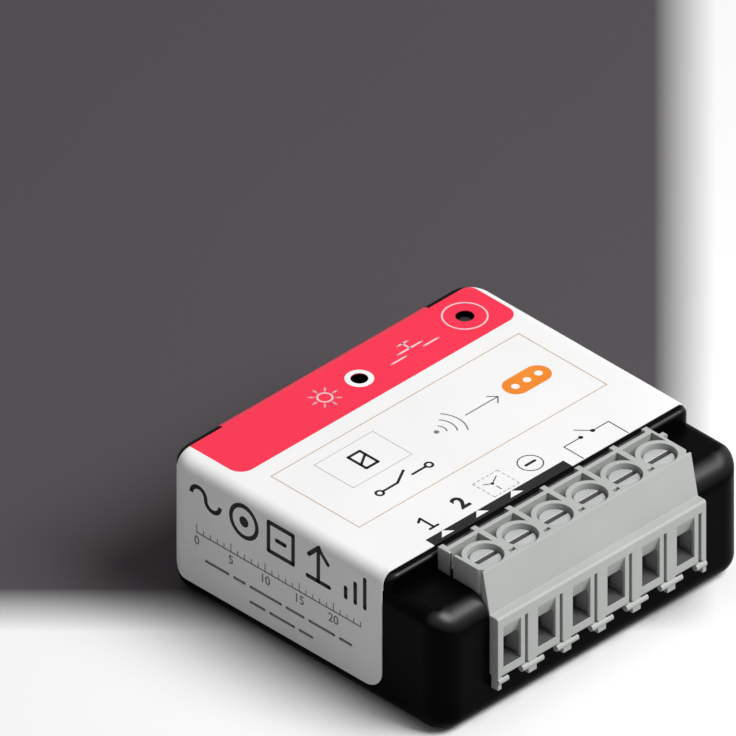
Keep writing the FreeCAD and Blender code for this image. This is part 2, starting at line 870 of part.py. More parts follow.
def wrapped_form(grow, low):
    """What the label lies on: the cover above the seam and the straight case walls below it."""
    half = number("case_length") / 2 + grow
    step = number(FRONT) + number("shelf_depth")
    back = number(BACK) + grow
    seam = number(SHELF)
    walls = block_solid(-half, step, low, half, back, seam)
    walls = fillet_where(walls, number("corner_radius") + grow,
                         lambda edge: upright_at(edge, back - 0.001, back + 1))
    return walls.fuse(cover_outer(grow, seam))


def make_label():
    """A thin wrap over the top, down both sides and, with a tab, over the back edge."""
    thick = number("label_thickness")
    half = number("case_length") / 2
    front = number(FRONT)
    back = number(BACK)
    start = front + number("label_front")
    low = number("label_bottom")
    top = number("case_height")
    corner = number("label_corner")
    skin = wrapped_form(thick, low - 2).cut(wrapped_form(0, low - 2))

    # side flaps, with rounded lower corners, reach round the rear corners
    side_end = back - number("label_side_margin")
    flap = block_solid(-half - 1, start, low, half + 1, side_end, top + 1)

    def lower_corner(edge):
        along_x = edge.BoundBox.XLength > half
        return along_x and abs(edge.CenterOfMass.z - low) < 0.001

    flap = fillet_where(flap, corner, lower_corner)
    slab_height = top - number("cover_fillet") * 0.6
    slab = block_solid(-half - 1, start, slab_height, half + 1, back - number("label_back_margin"), top + 1)
    tab = number("label_tab_width") / 2
    lap = back - number("label_tab_lap")
    back_flap = block_solid(-tab, lap, top - number("label_tab_drop"), tab, back + 1, top + 1)
    side_flaps = flap.cut(block_solid(-half + 1.4, start - 1, low - 1, half - 1.4, back + 1, top - 1.0))
    wanted = side_flaps.fuse(slab).fuse(back_flap)
    shape = skin.common(wanted)
    for x, y, radius in (
        (number(BUTTON_X), number(BUTTON_Y), number("button_hole_radius")),
        (number("indicator_x"), number(INDICATOR_Y), number("indicator_hole_radius")),
    ):
        shape = shape.cut(Part.makeCylinder(radius, 30, FreeCAD.Vector(x, y, 0)))
    feature("wrap_label", shape)


# Terminal block

def make_terminal_block():
    """One moulding, driven by the pole pitch and the pole count."""
    block = new_body("terminal_block")
    draw_block_profile(block)
    row_of(block, screw_side_features(block) + wire_side_features(block),
           "pole_count", "pole_pitch", "pole_row")
    row_of(block, divider_features(block), "(pole_count - 1)", "pole_pitch", "divider_row")
    for sign in ("-", ""):
        draw_end_wall(block, sign)
    clear_slope(block)
    draw_joining_parts(block)
    for sign in ("-", ""):
        relieve_end(block, sign)


def draw_block_profile(block):
    behind_lip = f"{FRONT} + case_wall + fit_gap"
    side = new_sketch(block, "YZ_Plane")
    outline(side, [
        (BLOCK_FACE, "frame_bottom"),
        (behind_lip, "frame_bottom"),
        (behind_lip, DECK),
        (BLOCK_REAR, DECK),
        (BLOCK_REAR, "block_top"),
        (f"{FRONT} + slope_top", "block_top"),
        (f"{FRONT} + slope_foot", "ledge_height"),
        (BLOCK_FACE, "ledge_height"),
    ])
    pad(block, side, BLOCK_LENGTH, both=True)
    face_y = number(BLOCK_FACE)
    ledge = number("ledge_height")

    def is_ridge(edge):
        centre = edge.CenterOfMass
        return abs(centre.y - face_y) < 0.001 and abs(centre.z - ledge) < 0.001

    round_edges(block, "ridge_fillet", is_ridge)


def screw_side_features(block):
    """What every pole has around its screw, drawn at the first pole."""
    half_bay = "(pole_pitch - rib_thickness) / 2"
    sunk = new_sketch(block, "XY_Plane", "block_top")
    rectangle(sunk, f"{FIRST_POLE} - {half_bay}", SCREW_Y,
              f"{FIRST_POLE} + {half_bay}", f"{BLOCK_REAR} - block_back_wall")
    sunk = pocket(block, sunk, "pocket_depth")
    tower = new_sketch(block, "XY_Plane", "block_top - pocket_depth - 0.2")
    circle(tower, FIRST_POLE, SCREW_Y, "tower_radius")
    tower = pad(block, tower, "pocket_depth + 0.2")
    well = new_sketch(block, "XY_Plane", "block_top")
    circle(well, FIRST_POLE, SCREW_Y, "well_radius")
    well = pocket(block, well, "well_depth")
    shank = new_sketch(block, "XY_Plane", "block_top")
    circle(shank, FIRST_POLE, SCREW_Y, "screw_radius + 2 * screw_running_gap")
    shank = pocket(block, shank, "block_top - chamber_top + 0.5")
    chamber = new_sketch(block, "XY_Plane", DECK)
    rectangle(chamber, f"{FIRST_POLE} - chamber_width / 2", f"{FRONT} + chamber_front",
              f"{FIRST_POLE} + chamber_width / 2", f"{FRONT} + chamber_back")
    chamber = pocket(block, chamber, f"chamber_top - {DECK}", ahead=True)
    leg = new_sketch(block, "XY_Plane", DECK)
    rectangle(leg, f"{FIRST_POLE} - bar_width / 2 - fit_gap", f"{FRONT} + chamber_back - 0.2",
              f"{FIRST_POLE} + bar_width / 2 + fit_gap", f"{FRONT} + bar_back + fit_gap")
    leg = pocket(block, leg, f"bar_height + bar_thickness + fit_gap - {DECK}", ahead=True)
    return [sunk, tower, well, shank, chamber, leg]


def wire_side_features(block):
    """The wire mouth with its sloped roof, the entry behind it and the narrow slot beside it."""
    mouth = new_sketch(block, "YZ_Plane", f"{FIRST_POLE} - mouth_left")
    outline(mouth, [
        (f"{BLOCK_FACE} - 0.5", "mouth_floor"),
        (f"{FRONT} + slope_foot", "entry_floor"),
        (f"{FRONT} + slope_foot", "entry_roof"),
        (f"{BLOCK_FACE} + mouth_slope", "mouth_throat"),
        (BLOCK_FACE, "mouth_roof"),
        (f"{BLOCK_FACE} - 0.5", "mouth_roof"),
    ])
    mouth = pocket(block, mouth, "mouth_left + mouth_right", ahead=True)
    entry = new_sketch(block, "YZ_Plane", f"{FIRST_POLE} - entry_half_width")
    rectangle(entry, f"{BLOCK_FACE} + 0.5", "entry_floor", f"{FRONT} + chamber_front + 0.2", "entry_roof")
    entry = pocket(block, entry, "2 * entry_half_width", ahead=True)
    slot = new_sketch(block, "YZ_Plane", f"{FIRST_POLE} + slot_left")
    rectangle(slot, f"{BLOCK_FACE} - 0.5", "frame_bottom - 0.5", f"{BLOCK_FACE} + slot_depth", "mouth_roof")
    slot = pocket(block, slot, "slot_width", ahead=True)
    return [mouth, entry, slot]


def divider_features(block):
    """What stands between two poles, drawn at the first boundary: pit, rib, foot and lug."""
    pit = new_sketch(block, "XY_Plane", "block_top")
    rectangle(pit, f"{BOUNDARY} - pit_length / 2", f"{FRONT} + pit_line - pit_width / 2",
              f"{BOUNDARY} + pit_length / 2", f"{FRONT} + pit_line + pit_width / 2")
    pit = pocket(block, pit, "pit_depth")
    rib = new_sketch(block, "XY_Plane", "block_top - rib_height")
    rectangle(rib, f"{BOUNDARY} - rib_thickness / 2", f"{BLOCK_REAR} - 0.2",
              f"{BOUNDARY} + rib_thickness / 2", f"{FRONT} + shelf_depth - foot_gap")
    rib = pad(block, rib, "rib_height")
    foot = new_sketch(block, "XY_Plane", "foot_bottom")
    rectangle(foot, f"{BOUNDARY} - divider_width / 2", BLOCK_FACE,
              f"{BOUNDARY} + divider_width / 2", f"{FRONT} - foot_gap")
    foot = pad(block, foot, "frame_bottom - foot_bottom + 0.3")
    lug = new_sketch(block, "YZ_Plane", f"{BOUNDARY} - divider_width / 2 - lug_reach")
    circle(lug, f"{BLOCK_FACE} + lug_radius / 2", "lug_height", "lug_radius")
    lug = pad(block, lug, "divider_width + 2 * lug_reach")
    return [pit, rib, foot, lug]


def draw_end_wall(block, sign):
    """Each end wall carries half a divider."""
    outer = f"{sign}{BLOCK_LENGTH} / 2"
    inward = "+" if sign else "-"
    rib = new_sketch(block, "XY_Plane", "block_top - rib_height")
    rectangle(rib, outer, f"{BLOCK_REAR} - 0.2",
              f"{outer} {inward} rib_thickness", f"{FRONT} + shelf_depth - foot_gap")
    pad(block, rib, "rib_height")
    foot = new_sketch(block, "XY_Plane", "foot_bottom")
    rectangle(foot, outer, BLOCK_FACE, f"{outer} {inward} end_wall", f"{FRONT} - foot_gap")
    pad(block, foot, "frame_bottom - foot_bottom + 0.3")
    lug = new_sketch(block, "YZ_Plane", outer)
    circle(lug, f"{BLOCK_FACE} + lug_radius / 2", "lug_height", "lug_radius")
    pad(block, lug, "end_wall + lug_reach", ahead=bool(sign))


def clear_slope(block):
    """The sloped front face stays clean of the round towers behind it."""
    clean = new_sketch(block, "YZ_Plane", f"-{BLOCK_LENGTH} / 2 - 1")
    outline(clean, [
        (f"{FRONT} + slope_foot", "ledge_height"),
        (f"{FRONT} + slope_top", "block_top"),
        (f"{FRONT} + slope_top", "block_top + 1"),
        (f"{BLOCK_FACE} - 0.5", "block_top + 1"),
        (f"{BLOCK_FACE} - 0.5", "ledge_height"),
    ])
    pocket(block, clean, f"{BLOCK_LENGTH} + 2", ahead=True)


def draw_joining_parts(block):
    """The joining groove on the left end and its key on the right end."""
    left = f"-{BLOCK_LENGTH} / 2"
    groove = new_sketch(block, "XY_Plane", "block_top")
    outline(groove, [
        (f"{left} - 0.2", f"{FRONT} + key_line - key_width / 2"),
        (f"{left} + key_depth", f"{FRONT} + key_line - key_width - 0.1"),
        (f"{left} + key_depth", f"{FRONT} + key_line + 0.1"),
        (f"{left} - 0.2", f"{FRONT} + key_line + 0.1"),
    ])
    pocket(block, groove, "key_height")
    right = f"{BLOCK_LENGTH} / 2"
    key = new_sketch(block, "XY_Plane", "block_top - key_height")
    outline(key, [
        (f"{right} - 0.1", f"{FRONT} + key_line - key_width / 2"),
        (f"{right} + key_depth - fit_gap", f"{FRONT} + key_line - key_width"),
        (f"{right} + key_depth - fit_gap", f"{FRONT} + key_line"),
        (f"{right} - 0.1", f"{FRONT} + key_line"),
    ])
    pad(block, key, "key_height - 0.1")


def relieve_end(block, sign):
    """A small three-sided relief behind the slope, at each end of the block."""
    outer = f"{sign}{BLOCK_LENGTH} / 2"
    inward = "+" if sign else "-"
    relief = new_sketch(block, "XY_Plane", "block_top + 0.2")
    outline(relief, [
        (f"{outer} {inward} -0.1", f"{FRONT} + slope_top + relief_start"),
        (f"{outer} {inward} relief_depth", f"{FRONT} + slope_top + relief_start + 0.15"),
        (f"{outer} {inward} -0.1", f"{FRONT} + slope_top + relief_end"),
    ])
    pocket(block, relief, "block_top - ledge_height")


# Screws, cages and contact bars

def pole_x(index):
    return f"({FIRST_POLE} + {index} * pole_pitch)"


def make_screw(index):
    """A slotted terminal screw. The head turns on the shoulder at the bottom of its well."""
    screw = new_body(f"terminal_screw_{index + 1}")
    seat = "(block_top - well_depth + screw_head_seat_gap)"
    tip = "(bar_height + bar_thickness + screw_tip_gap)"
    profile = new_sketch(screw, "XZ_Plane")
    outline(profile, [
        ("0", tip),
        ("screw_radius - screw_head_chamfer", tip),
        ("screw_radius", f"{tip} + screw_head_chamfer"),
        ("screw_radius", seat),
        ("screw_head_radius", seat),
        ("screw_head_radius", f"{seat} + screw_head_height - screw_head_chamfer"),
        ("screw_head_radius - screw_head_chamfer", f"{seat} + screw_head_height"),
        ("0", f"{seat} + screw_head_height"),
    ])
    revolve(screw, profile)
    slot = new_sketch(screw, "XY_Plane", f"{seat} + screw_head_height")
    rectangle(slot, "-screw_head_radius - 0.5", "-screw_slot_width / 2",
              "screw_head_radius + 0.5", "screw_slot_width / 2")
    pocket(screw, slot, "screw_slot_depth")
    place(screw, pole_x(index), f"{FRONT} + screw_line", "0")


def make_cage(index):
    """A rising cage: a folded frame whose thick top plate runs on the screw's thread."""
    cage = new_body(f"clamp_cage_{index + 1}")
    half = "(chamber_width / 2 - cage_side_gap)"
    top = "(cage_bottom + cage_floor + cage_opening + cage_thread_plate)"
    frame = new_sketch(cage, "XZ_Plane")
    rectangle(frame, f"-{half}", "cage_bottom", half, top)
    rectangle(frame, f"-{half} + cage_wall", "cage_bottom + cage_floor",
              f"{half} - cage_wall", f"{top} - cage_thread_plate")
    pad(cage, frame, "chamber_back - chamber_front - 2 * cage_side_gap", both=True)

    def is_long_corner(edge):
        box = edge.BoundBox
        return box.YLength > 1 and box.XLength < 0.001 and box.ZLength < 0.001 and abs(box.XMax) > 1.5

    round_edges(cage, "cage_corner", is_long_corner)
    bore = new_sketch(cage, "XY_Plane", top)
    circle(bore, "0", "screw_line - (chamber_front + chamber_back) / 2", "screw_radius + screw_running_gap")
    pocket(cage, bore, "cage_thread_plate + 0.5")
    place(cage, pole_x(index), f"{FRONT} + (chamber_front + chamber_back) / 2", "0")


def make_contact_bars():
    """Six angled contact bars, each with a solder pin through the board."""
    bars = []
    for index in range(int(number("pole_count"))):
        bar = sheet_document.addObject("PartDesign::Body", f"contact_bar_{index + 1}")
        profile = new_sketch(bar, "YZ_Plane")
        front = f"{FRONT} + bar_front"
        back = f"{FRONT} + bar_back"
        top = "bar_height + bar_thickness"
        outline(profile, [
            (front, "bar_height"),
            (f"{back} - bar_thickness", "bar_height"),
            (f"{back} - bar_thickness", f"{DECK} + 0.1"),
            (back, f"{DECK} + 0.1"),
            (back, top),
            (front, top),
        ])
        pad(bar, profile, "bar_width", both=True)
        pin = new_sketch(bar, "XY_Plane", "board_height - lead_length")
        rectangle(pin, "-pin_width / 2", f"{back} - bar_thickness", "pin_width / 2", back)
        pad(bar, pin, "board_thickness + lead_length + 0.3")
        place(bar, pole_x(index), "0", "0")
        bars.append(bar)
    group("terminal_contacts", bars)


# Circuit board

def lead_list():
    """Where each round lead passes through the board: x, y and radius."""
    leads = [(x, y, "film_cap_lead") for x, y in film_cap_leads()]
    leads += [(x, y, "film_cap_lead") for x, y in varistor_leads()]
    leads += [(x, y, "thin_lead") for x, y in fuse_leads()]
    for index in range(2):
        leads += [(x, y, "thin_lead") for x, y in can_leads(index)]
    leads += [(f"{CHOKE_X} {side} choke_lead_reach", CHOKE_Y, "thin_lead") for side in "-+"]
    return leads


def film_cap_leads():
    return [(f"{FILM_CAP_X} {side} (film_cap_length / 2 - film_cap_lead_inset)", FILM_CAP_Y) for side in "-+"]


def varistor_leads():
    return [(f"{VARISTOR_X} {side} varistor_lead_reach", VARISTOR_Y) for side in "-+"]


def fuse_leads():
    return [(FUSE_X, f"{FUSE_Y} {side} fuse_lead_reach") for side in "-+"]


def can_x(index):
    return f"({LEFT} + can_side_gap + can_radius + {index} * (2 * can_radius + can_gap))"


def can_leads(index):
    return [(f"{can_x(index)} {side} can_lead_reach", f"{CAN_FOOT} - can_lead_bend") for side in "-+"]


def relay_pin_places():
    """Coil pins, common pin and switched pin of the relay."""
    return [
        (f"{RELAY_X} + coil_pin_start", f"{COIL_Y} - coil_pin_reach"),
        (f"{RELAY_X} + coil_pin_start", f"{COIL_Y} + coil_pin_reach"),
        (f"{RELAY_END} - common_pin_back", f"{RELAY_Y} + common_pin_front"),
        (f"{FIXED_FACE} - contact_thickness - contact_blade / 2", CONTACT_Y),
    ]


def make_board():
    board = new_body("main_board")
    half = "(case_length / 2 - case_wall - board_gap)"
    front = f"{FRONT} + case_wall + board_gap"
    back = f"{BACK} - case_wall - board_gap"
    face = new_sketch(board, "XY_Plane", "board_height")
    rectangle(face, f"-{half}", front, half, back)
    for x, y, radius in lead_list():
        circle(face, x, y, f"{radius} + lead_hole_gap")
    for x, y in relay_pin_places():
        circle(face, x, y, "relay_pin_radius + relay_pin_play + lead_hole_gap")
    for index in range(int(number("pole_count"))):
        y = f"{FRONT} + bar_back - bar_thickness / 2"
        circle(face, pole_x(index), y, "pin_width / 2 + bar_thickness / 4 + lead_hole_gap")
    post_x = "(case_length / 2 - case_wall - post_inset)"
    circle(face, f"-{post_x}", f"{BACK} - case_wall - post_inset", "peg_radius + lead_hole_gap")
    circle(face, post_x, f"{FRONT} + case_wall + post_inset", "peg_radius + lead_hole_gap")
    pad(board, face, "board_thickness")
    edge_x = number(half)

    def is_corner(edge):
        return is_upright(edge) and abs(abs(edge.CenterOfMass.x) - edge_x) < 0.001

    round_edges(board, "board_corner", is_corner)


# Relay

def make_relay_case():
    wall = "relay_case_wall"
    outer = box("relay_case_outer", RELAY_X, RELAY_Y, DECK,
                RELAY_END, RELAY_BACK, f"{DECK} + {RELAY_HEIGHT}")
    space = box("relay_case_space", f"{RELAY_X} + {wall}", f"{RELAY_Y} + {wall}", f"{DECK} - 1",
                f"{RELAY_END} - {wall}", f"{RELAY_BACK} - {wall}",
                f"{DECK} + {RELAY_HEIGHT} - {wall}")
    finish(less("relay_case", outer, [space]), "relay_case")


def make_relay_base():
    """The plate that closes the relay's case, on four stands, with a barrier beside the coil."""
    left = f"({RELAY_X} + relay_case_wall + relay_fit)"
    right = f"({RELAY_END} - relay_case_wall - relay_fit)"
    near = f"({RELAY_Y} + relay_case_wall + relay_fit)"
    far = f"({RELAY_BACK} - relay_case_wall - relay_fit)"
    top = f"({DECK} + relay_base_thickness)"
    plate = box("relay_plate", left, near, f"{DECK} + stand_height", right, far, top)
    barrier_y = f"({COIL_Y} + {FLANGE} / 2 + barrier_gap)"
    barrier = box("relay_barrier", SPOOL_START, barrier_y, f"{top} - 0.2",
                  f"{SPOOL_END} - barrier_end_gap", f"{barrier_y} + barrier_thickness",
                  f"{DECK} + {YOKE_TOP} - yoke_thickness")
    corners = [(f"({left} + stand_end_inset)", f"({near} + stand_side_inset)"),
               (f"({right} - stand_pin_inset - stand_size)", f"({near} + stand_side_inset)"),
               (f"({left} + stand_end_inset)", f"({far} - stand_wall_inset - stand_size)"),
               (f"({right} - stand_pin_inset - stand_size)", f"({far} - stand_wall_inset - stand_size)")]
    stands = [box(f"relay_stand_{i}", x, y, DECK, f"{x} + stand_size", f"{y} + stand_size",
                  f"{DECK} + stand_height + 0.2") for i, (x, y) in enumerate(corners)]
    drills = [rod(f"relay_drill_{i}", x, y, DECK, "relay_pin_radius + 0.1", "relay_base_thickness + 1")
              for i, (x, y) in enumerate(relay_pin_places())]
    blank = fused("relay_base_blank", [plate, barrier] + stands)
    finish(less("relay_base", blank, drills), "relay_base")


def make_coil():
    """The bobbin with its two square flanges, the winding between them and the iron core."""
    spool = rod("relay_spool", SPOOL_START, COIL_Y, COIL_Z, SPOOL_RADIUS,
                f"{SPOOL_END} - {SPOOL_START}", "x")
    flanges = [box(f"relay_flange_{i}", x, f"{COIL_Y} - {FLANGE} / 2", f"{COIL_Z} - {FLANGE} / 2",
                   f"{x} + flange_thickness", f"{COIL_Y} + {FLANGE} / 2", f"{COIL_Z} + {FLANGE} / 2")
               for i, x in enumerate([SPOOL_START, f"({SPOOL_END} - flange_thickness)"])]
    core_bore = rod("relay_core_bore", RELAY_X, COIL_Y, COIL_Z, f"{CORE_RADIUS} + core_play",
                    f"{RELAY_END} - {RELAY_X}", "x")
    bobbin = fused("relay_bobbin_blank", [spool] + flanges)
    finish(less("relay_bobbin", bobbin, [core_bore]), "relay_bobbin")

    winding = rod("relay_winding", f"{SPOOL_START} + flange_thickness + winding_play", COIL_Y, COIL_Z,
                  COIL_RADIUS, f"{SPOOL_END} - {SPOOL_START} - 2 * (flange_thickness + winding_play)", "x")
    hub = rod("relay_winding_bore", RELAY_X, COIL_Y, COIL_Z, f"{SPOOL_RADIUS} + winding_play",
              f"{RELAY_END} - {RELAY_X}", "x")
    finish(less("relay_coil", winding, [hub]), "relay_coil")

    core = rod("relay_core_rod", f"{RELAY_X} + yoke_start", COIL_Y, COIL_Z, CORE_RADIUS,
               f"{CORE_END} - {RELAY_X} - yoke_start", "x")
    face = rod("relay_pole_face", f"{CORE_END} - pole_face_thickness", COIL_Y, COIL_Z,
               f"{COIL_RADIUS} - pole_face_inset", "pole_face_thickness", "x")
    finish(fused("relay_core", [core, face]), "relay_core")


def make_yoke():
    """An angled iron strip behind and above the coil, riveted to the core."""
    start = f"({RELAY_X} + yoke_start)"
    near = f"{COIL_Y} - {YOKE_HALF}"
    far = f"{COIL_Y} + {YOKE_HALF}"
    top = f"({DECK} + {YOKE_TOP})"
    leg = box("relay_yoke_leg", start, near, f"{DECK} + relay_base_thickness",
              f"{start} + yoke_thickness", far, top)
    arm = box("relay_yoke_arm", start, near, f"{top} - yoke_thickness",
              f"{ARMATURE_X} - armature_gap", far, top)
    rivet = rod("relay_yoke_bore", RELAY_X, COIL_Y, COIL_Z, f"{CORE_RADIUS} + winding_play",
                "yoke_start + 2 * yoke_thickness", "x")
    finish(less("relay_yoke", fused("relay_yoke_blank", [leg, arm]), [rivet]), "relay_yoke")


def make_armature():
    """The armature's round upper end rolls against the yoke's end face. It carries the spring
    and, at the spring's finger, the moving contact."""
    near = f"({COIL_Y} - {YOKE_HALF})"
    far = f"({COIL_Y} + {YOKE_HALF})"
    half_thickness = "armature_thickness / 2"
    top = f"({DECK} + {YOKE_TOP})"
    flap = box("armature_plate", ARMATURE_X, near, f"{DECK} + armature_bottom",
               f"{ARMATURE_X} + armature_thickness", far, f"{top} - {half_thickness}")
    roll = rod("armature_roll", f"{ARMATURE_X} + {half_thickness}", near,
               f"{top} - {half_thickness}", half_thickness, f"2 * {YOKE_HALF}", "y")
    finish(fused("relay_armature", [flap, roll]), "relay_armature")

    outer = f"({ARMATURE_X} + armature_thickness)"
    contact_z = f"({DECK} + contact_height)"
    blade = box("relay_spring_blade", outer, f"{near} + spring_inset", f"{DECK} + armature_bottom + 0.2",
                f"{outer} + spring_thickness", f"{far} - 0.4", f"{top} - 1.2")
    finger = box("relay_spring_finger", outer, COIL_Y, f"{contact_z} - contact_radius",
                 f"{outer} + spring_thickness", f"{CONTACT_Y} + contact_radius",
                 f"{contact_z} + contact_radius")
    finish(fused("contact_spring", [blade, finger]), "contact_spring")
    finish(rod("moving_contact", ARMATURE_X, CONTACT_Y, contact_z,
               "contact_radius", "armature_thickness", "x"), "moving_contact")


def make_fixed_contact():
    contact_z = f"({DECK} + contact_height)"
    rear = f"({FIXED_FACE} - contact_thickness)"
    button = rod("fixed_contact_button", rear, CONTACT_Y, contact_z, "contact_radius",
                 "contact_thickness", "x")
    post = box("fixed_contact_post", f"{rear} - contact_blade", f"{CONTACT_Y} - contact_post_reach",
               f"{DECK} + relay_base_thickness", rear, f"{CONTACT_Y} + contact_post_reach",
               f"{contact_z} + contact_post_reach + 0.1")
    x, y = relay_pin_places()[3]
    tail = rod("fixed_contact_tail", x, y, "board_height - lead_length", "relay_pin_radius",
               "board_thickness + lead_length + relay_base_thickness + 0.1")
    finish(fused("fixed_contact", [button, post, tail]), "fixed_contact")


def make_relay():
    make_relay_case()
    make_relay_base()
    make_coil()
    make_yoke()
    make_armature()
    make_fixed_contact()
    group("relay_pins", [
        rod(f"relay_pin_{i + 1}", x, y, "board_height - lead_length", "relay_pin_radius",
            "board_thickness + lead_length + relay_base_thickness + 0.4")
        for i, (x, y) in enumerate(relay_pin_places()[:3])
    ])


# Push button, switch and indicator

def make_plunger():
    """The plunger hangs in the cover's guide and stands on the switch's stem."""
    plunger = new_body("button_plunger")
    radius = "(button_hole_radius - button_guide_gap)"
    top = "(case_height - button_recess)"
    flange_top = f"({CEILING} - guide_boss_drop - button_flange_gap)"
    profile = new_sketch(plunger, "XZ_Plane")
    outline(profile, [
        ("0", STEM_TOP),
        ("switch_stem_radius", STEM_TOP),
        ("switch_stem_radius", f"{flange_top} - button_flange_height"),
        ("button_flange_radius", f"{flange_top} - button_flange_height"),
        ("button_flange_radius", flange_top),
        (radius, flange_top),
        (radius, f"{top} - button_chamfer"),
        (f"{radius} - button_chamfer", top),
        ("0", top),
    ])
    revolve(plunger, profile)
    place(plunger, BUTTON_X, BUTTON_Y, "0")


def make_switch_housing():
    """The switch's hollow base and its sheet cover."""
    half = "(switch_size / 2)"
    shell = box("switch_block", f"{BUTTON_X} - {half}", f"{BUTTON_Y} - {half}", DECK,
                f"{BUTTON_X} + {half}", f"{BUTTON_Y} + {half}", f"{DECK} + switch_body_height")
    hollow = rod("switch_hollow", BUTTON_X, BUTTON_Y, f"{DECK} + switch_floor", "dome_radius + 0.15",
                 "switch_body_height")
    finish(less("switch_base", shell, [hollow]), "switch_base")
    lid = box("switch_lid", f"{BUTTON_X} - {half}", f"{BUTTON_Y} - {half}", f"{DECK} + switch_body_height",
              f"{BUTTON_X} + {half}", f"{BUTTON_Y} + {half}",
              f"{DECK} + switch_body_height + switch_cover_thickness")
    lid_hole = rod("switch_lid_hole", BUTTON_X, BUTTON_Y, DECK, "switch_stem_radius + button_guide_gap",
                   "2 * switch_body_height")
    finish(less("switch_cover", lid, [lid_hole]), "switch_cover")


def make_stem():
    stem = new_body("switch_stem")
    dome_top = f"({DECK} + switch_floor + dome_rise + dome_thickness + 0.02)"
    collar_top = f"({DECK} + switch_body_height - 0.05)"
    shape = new_sketch(stem, "XZ_Plane")
    outline(shape, [
        ("0", dome_top),
        ("stem_nub_radius", dome_top),
        ("stem_nub_radius", f"{dome_top} + stem_nub_height"),
        ("switch_stem_collar", f"{dome_top} + stem_nub_height"),
        ("switch_stem_collar", collar_top),
        ("switch_stem_radius", collar_top),
        ("switch_stem_radius", STEM_TOP),
        ("0", STEM_TOP),
    ])
    revolve(stem, shape)
    place(stem, BUTTON_X, BUTTON_Y, "0")


def make_dome():
    """A snap disc: the thin cap of a large sphere."""
    dome_radius = number("dome_radius")
    rise = number("dome_rise")
    thick = number("dome_thickness")
    bend = (dome_radius ** 2 + rise ** 2) / (2 * rise)
    low = FreeCAD.Vector(0, 0, rise - bend)
    cap = Part.makeSphere(bend + thick, low).cut(Part.makeSphere(bend, low))
    cap = cap.common(Part.makeCylinder(dome_radius, rise + thick))
    cap.translate(FreeCAD.Vector(number(BUTTON_X), number(BUTTON_Y), number(f"{DECK} + switch_floor")))
    feature("switch_dome", cap)


def make_switch_leads():
    leads = []
    for x in (f"({BUTTON_X} - switch_size / 2 - switch_lead_length)", f"({BUTTON_X} + switch_size / 2)"):
        for side in "+-":
            middle = f"({BUTTON_Y} {side} switch_lead_spacing / 2)"
            leads.append(box(f"switch_lead_{len(leads)}", x, f"{middle} - switch_lead_width / 2", DECK,
                             f"{x} + switch_lead_length", f"{middle} + switch_lead_width / 2",
                             f"{DECK} + switch_lead_thickness"))
    group("switch_leads", leads)


def make_indicator():
    finish(box("status_led", "indicator_x - led_length / 2", f"{INDICATOR_Y} - led_width / 2", DECK,
               "indicator_x + led_length / 2", f"{INDICATOR_Y} + led_width / 2", f"{DECK} + led_height"),
           "status_led")
    guide = new_body("light_guide")
    radius = "(indicator_hole_radius - light_guide_gap)"
    foot = f"({DECK} + led_height + 0.2)"
    collar = f"({CEILING} - indicator_boss_drop - 0.05)"
    profile = new_sketch(guide, "XZ_Plane")
    outline(profile, [
        ("0", foot),
        (radius, foot),
        (radius, f"{collar} - 0.9"),
        ("light_guide_head", f"{collar} - 0.6"),
        ("light_guide_head", collar),
        (radius, collar),
        (radius, "case_height - light_guide_recess"),
        ("0", "case_height - light_guide_recess"),
    ])
    revolve(guide, profile)
    place(guide, "indicator_x", INDICATOR_Y, "0")


# Mains supply and electronics

def lead_rods(label, places, radius, above):
    """Round leads that run from under the board to a height above its top face."""
    low = "board_height - lead_length"
    return [rod(f"{label}_lead_{i}", x, y, low, radius, f"board_thickness + lead_length + {above}")
            for i, (x, y) in enumerate(places)]


def make_film_capacitor():
    body = box("film_cap_case", f"{FILM_CAP_X} - film_cap_length / 2", f"{FILM_CAP_Y} - film_cap_width / 2",
               DECK, f"{FILM_CAP_X} + film_cap_length / 2", FILM_CAP_BACK, f"{DECK} + {FILM_CAP_HEIGHT}")
    leads = lead_rods("film_cap", film_cap_leads(), "film_cap_lead", "0.3")
    finish(fused("film_capacitor", [body] + leads), "film_capacitor")


def make_varistor():
    disc = rod("varistor_disc", VARISTOR_X, f"{VARISTOR_Y} - varistor_thickness / 2",
               f"{DECK} + varistor_stand + varistor_radius", "varistor_radius", "varistor_thickness", "y")
    leads = lead_rods("varistor", varistor_leads(), "film_cap_lead", "varistor_stand + varistor_lead_reach")
    finish(fused("varistor", [disc] + leads), "varistor")


def make_fuse():
    """A lying fusible resistor, its two wires bent down into the board."""
    height = f"{DECK} + fuse_radius + fuse_stand"
    tube = rod("fuse_tube", FUSE_X, f"{FUSE_Y} - fuse_length / 2", height, "fuse_radius", "fuse_length", "y")
    wire = rod("fuse_wire", FUSE_X, f"{FUSE_Y} - fuse_lead_reach", height, "lying_lead",
               "2 * fuse_lead_reach", "y")
    leads = lead_rods("fuse", fuse_leads(), "thin_lead", "fuse_radius + fuse_stand + lead_elbow")
    finish(fused("fuse_resistor", [tube, wire] + leads), "fuse_resistor")


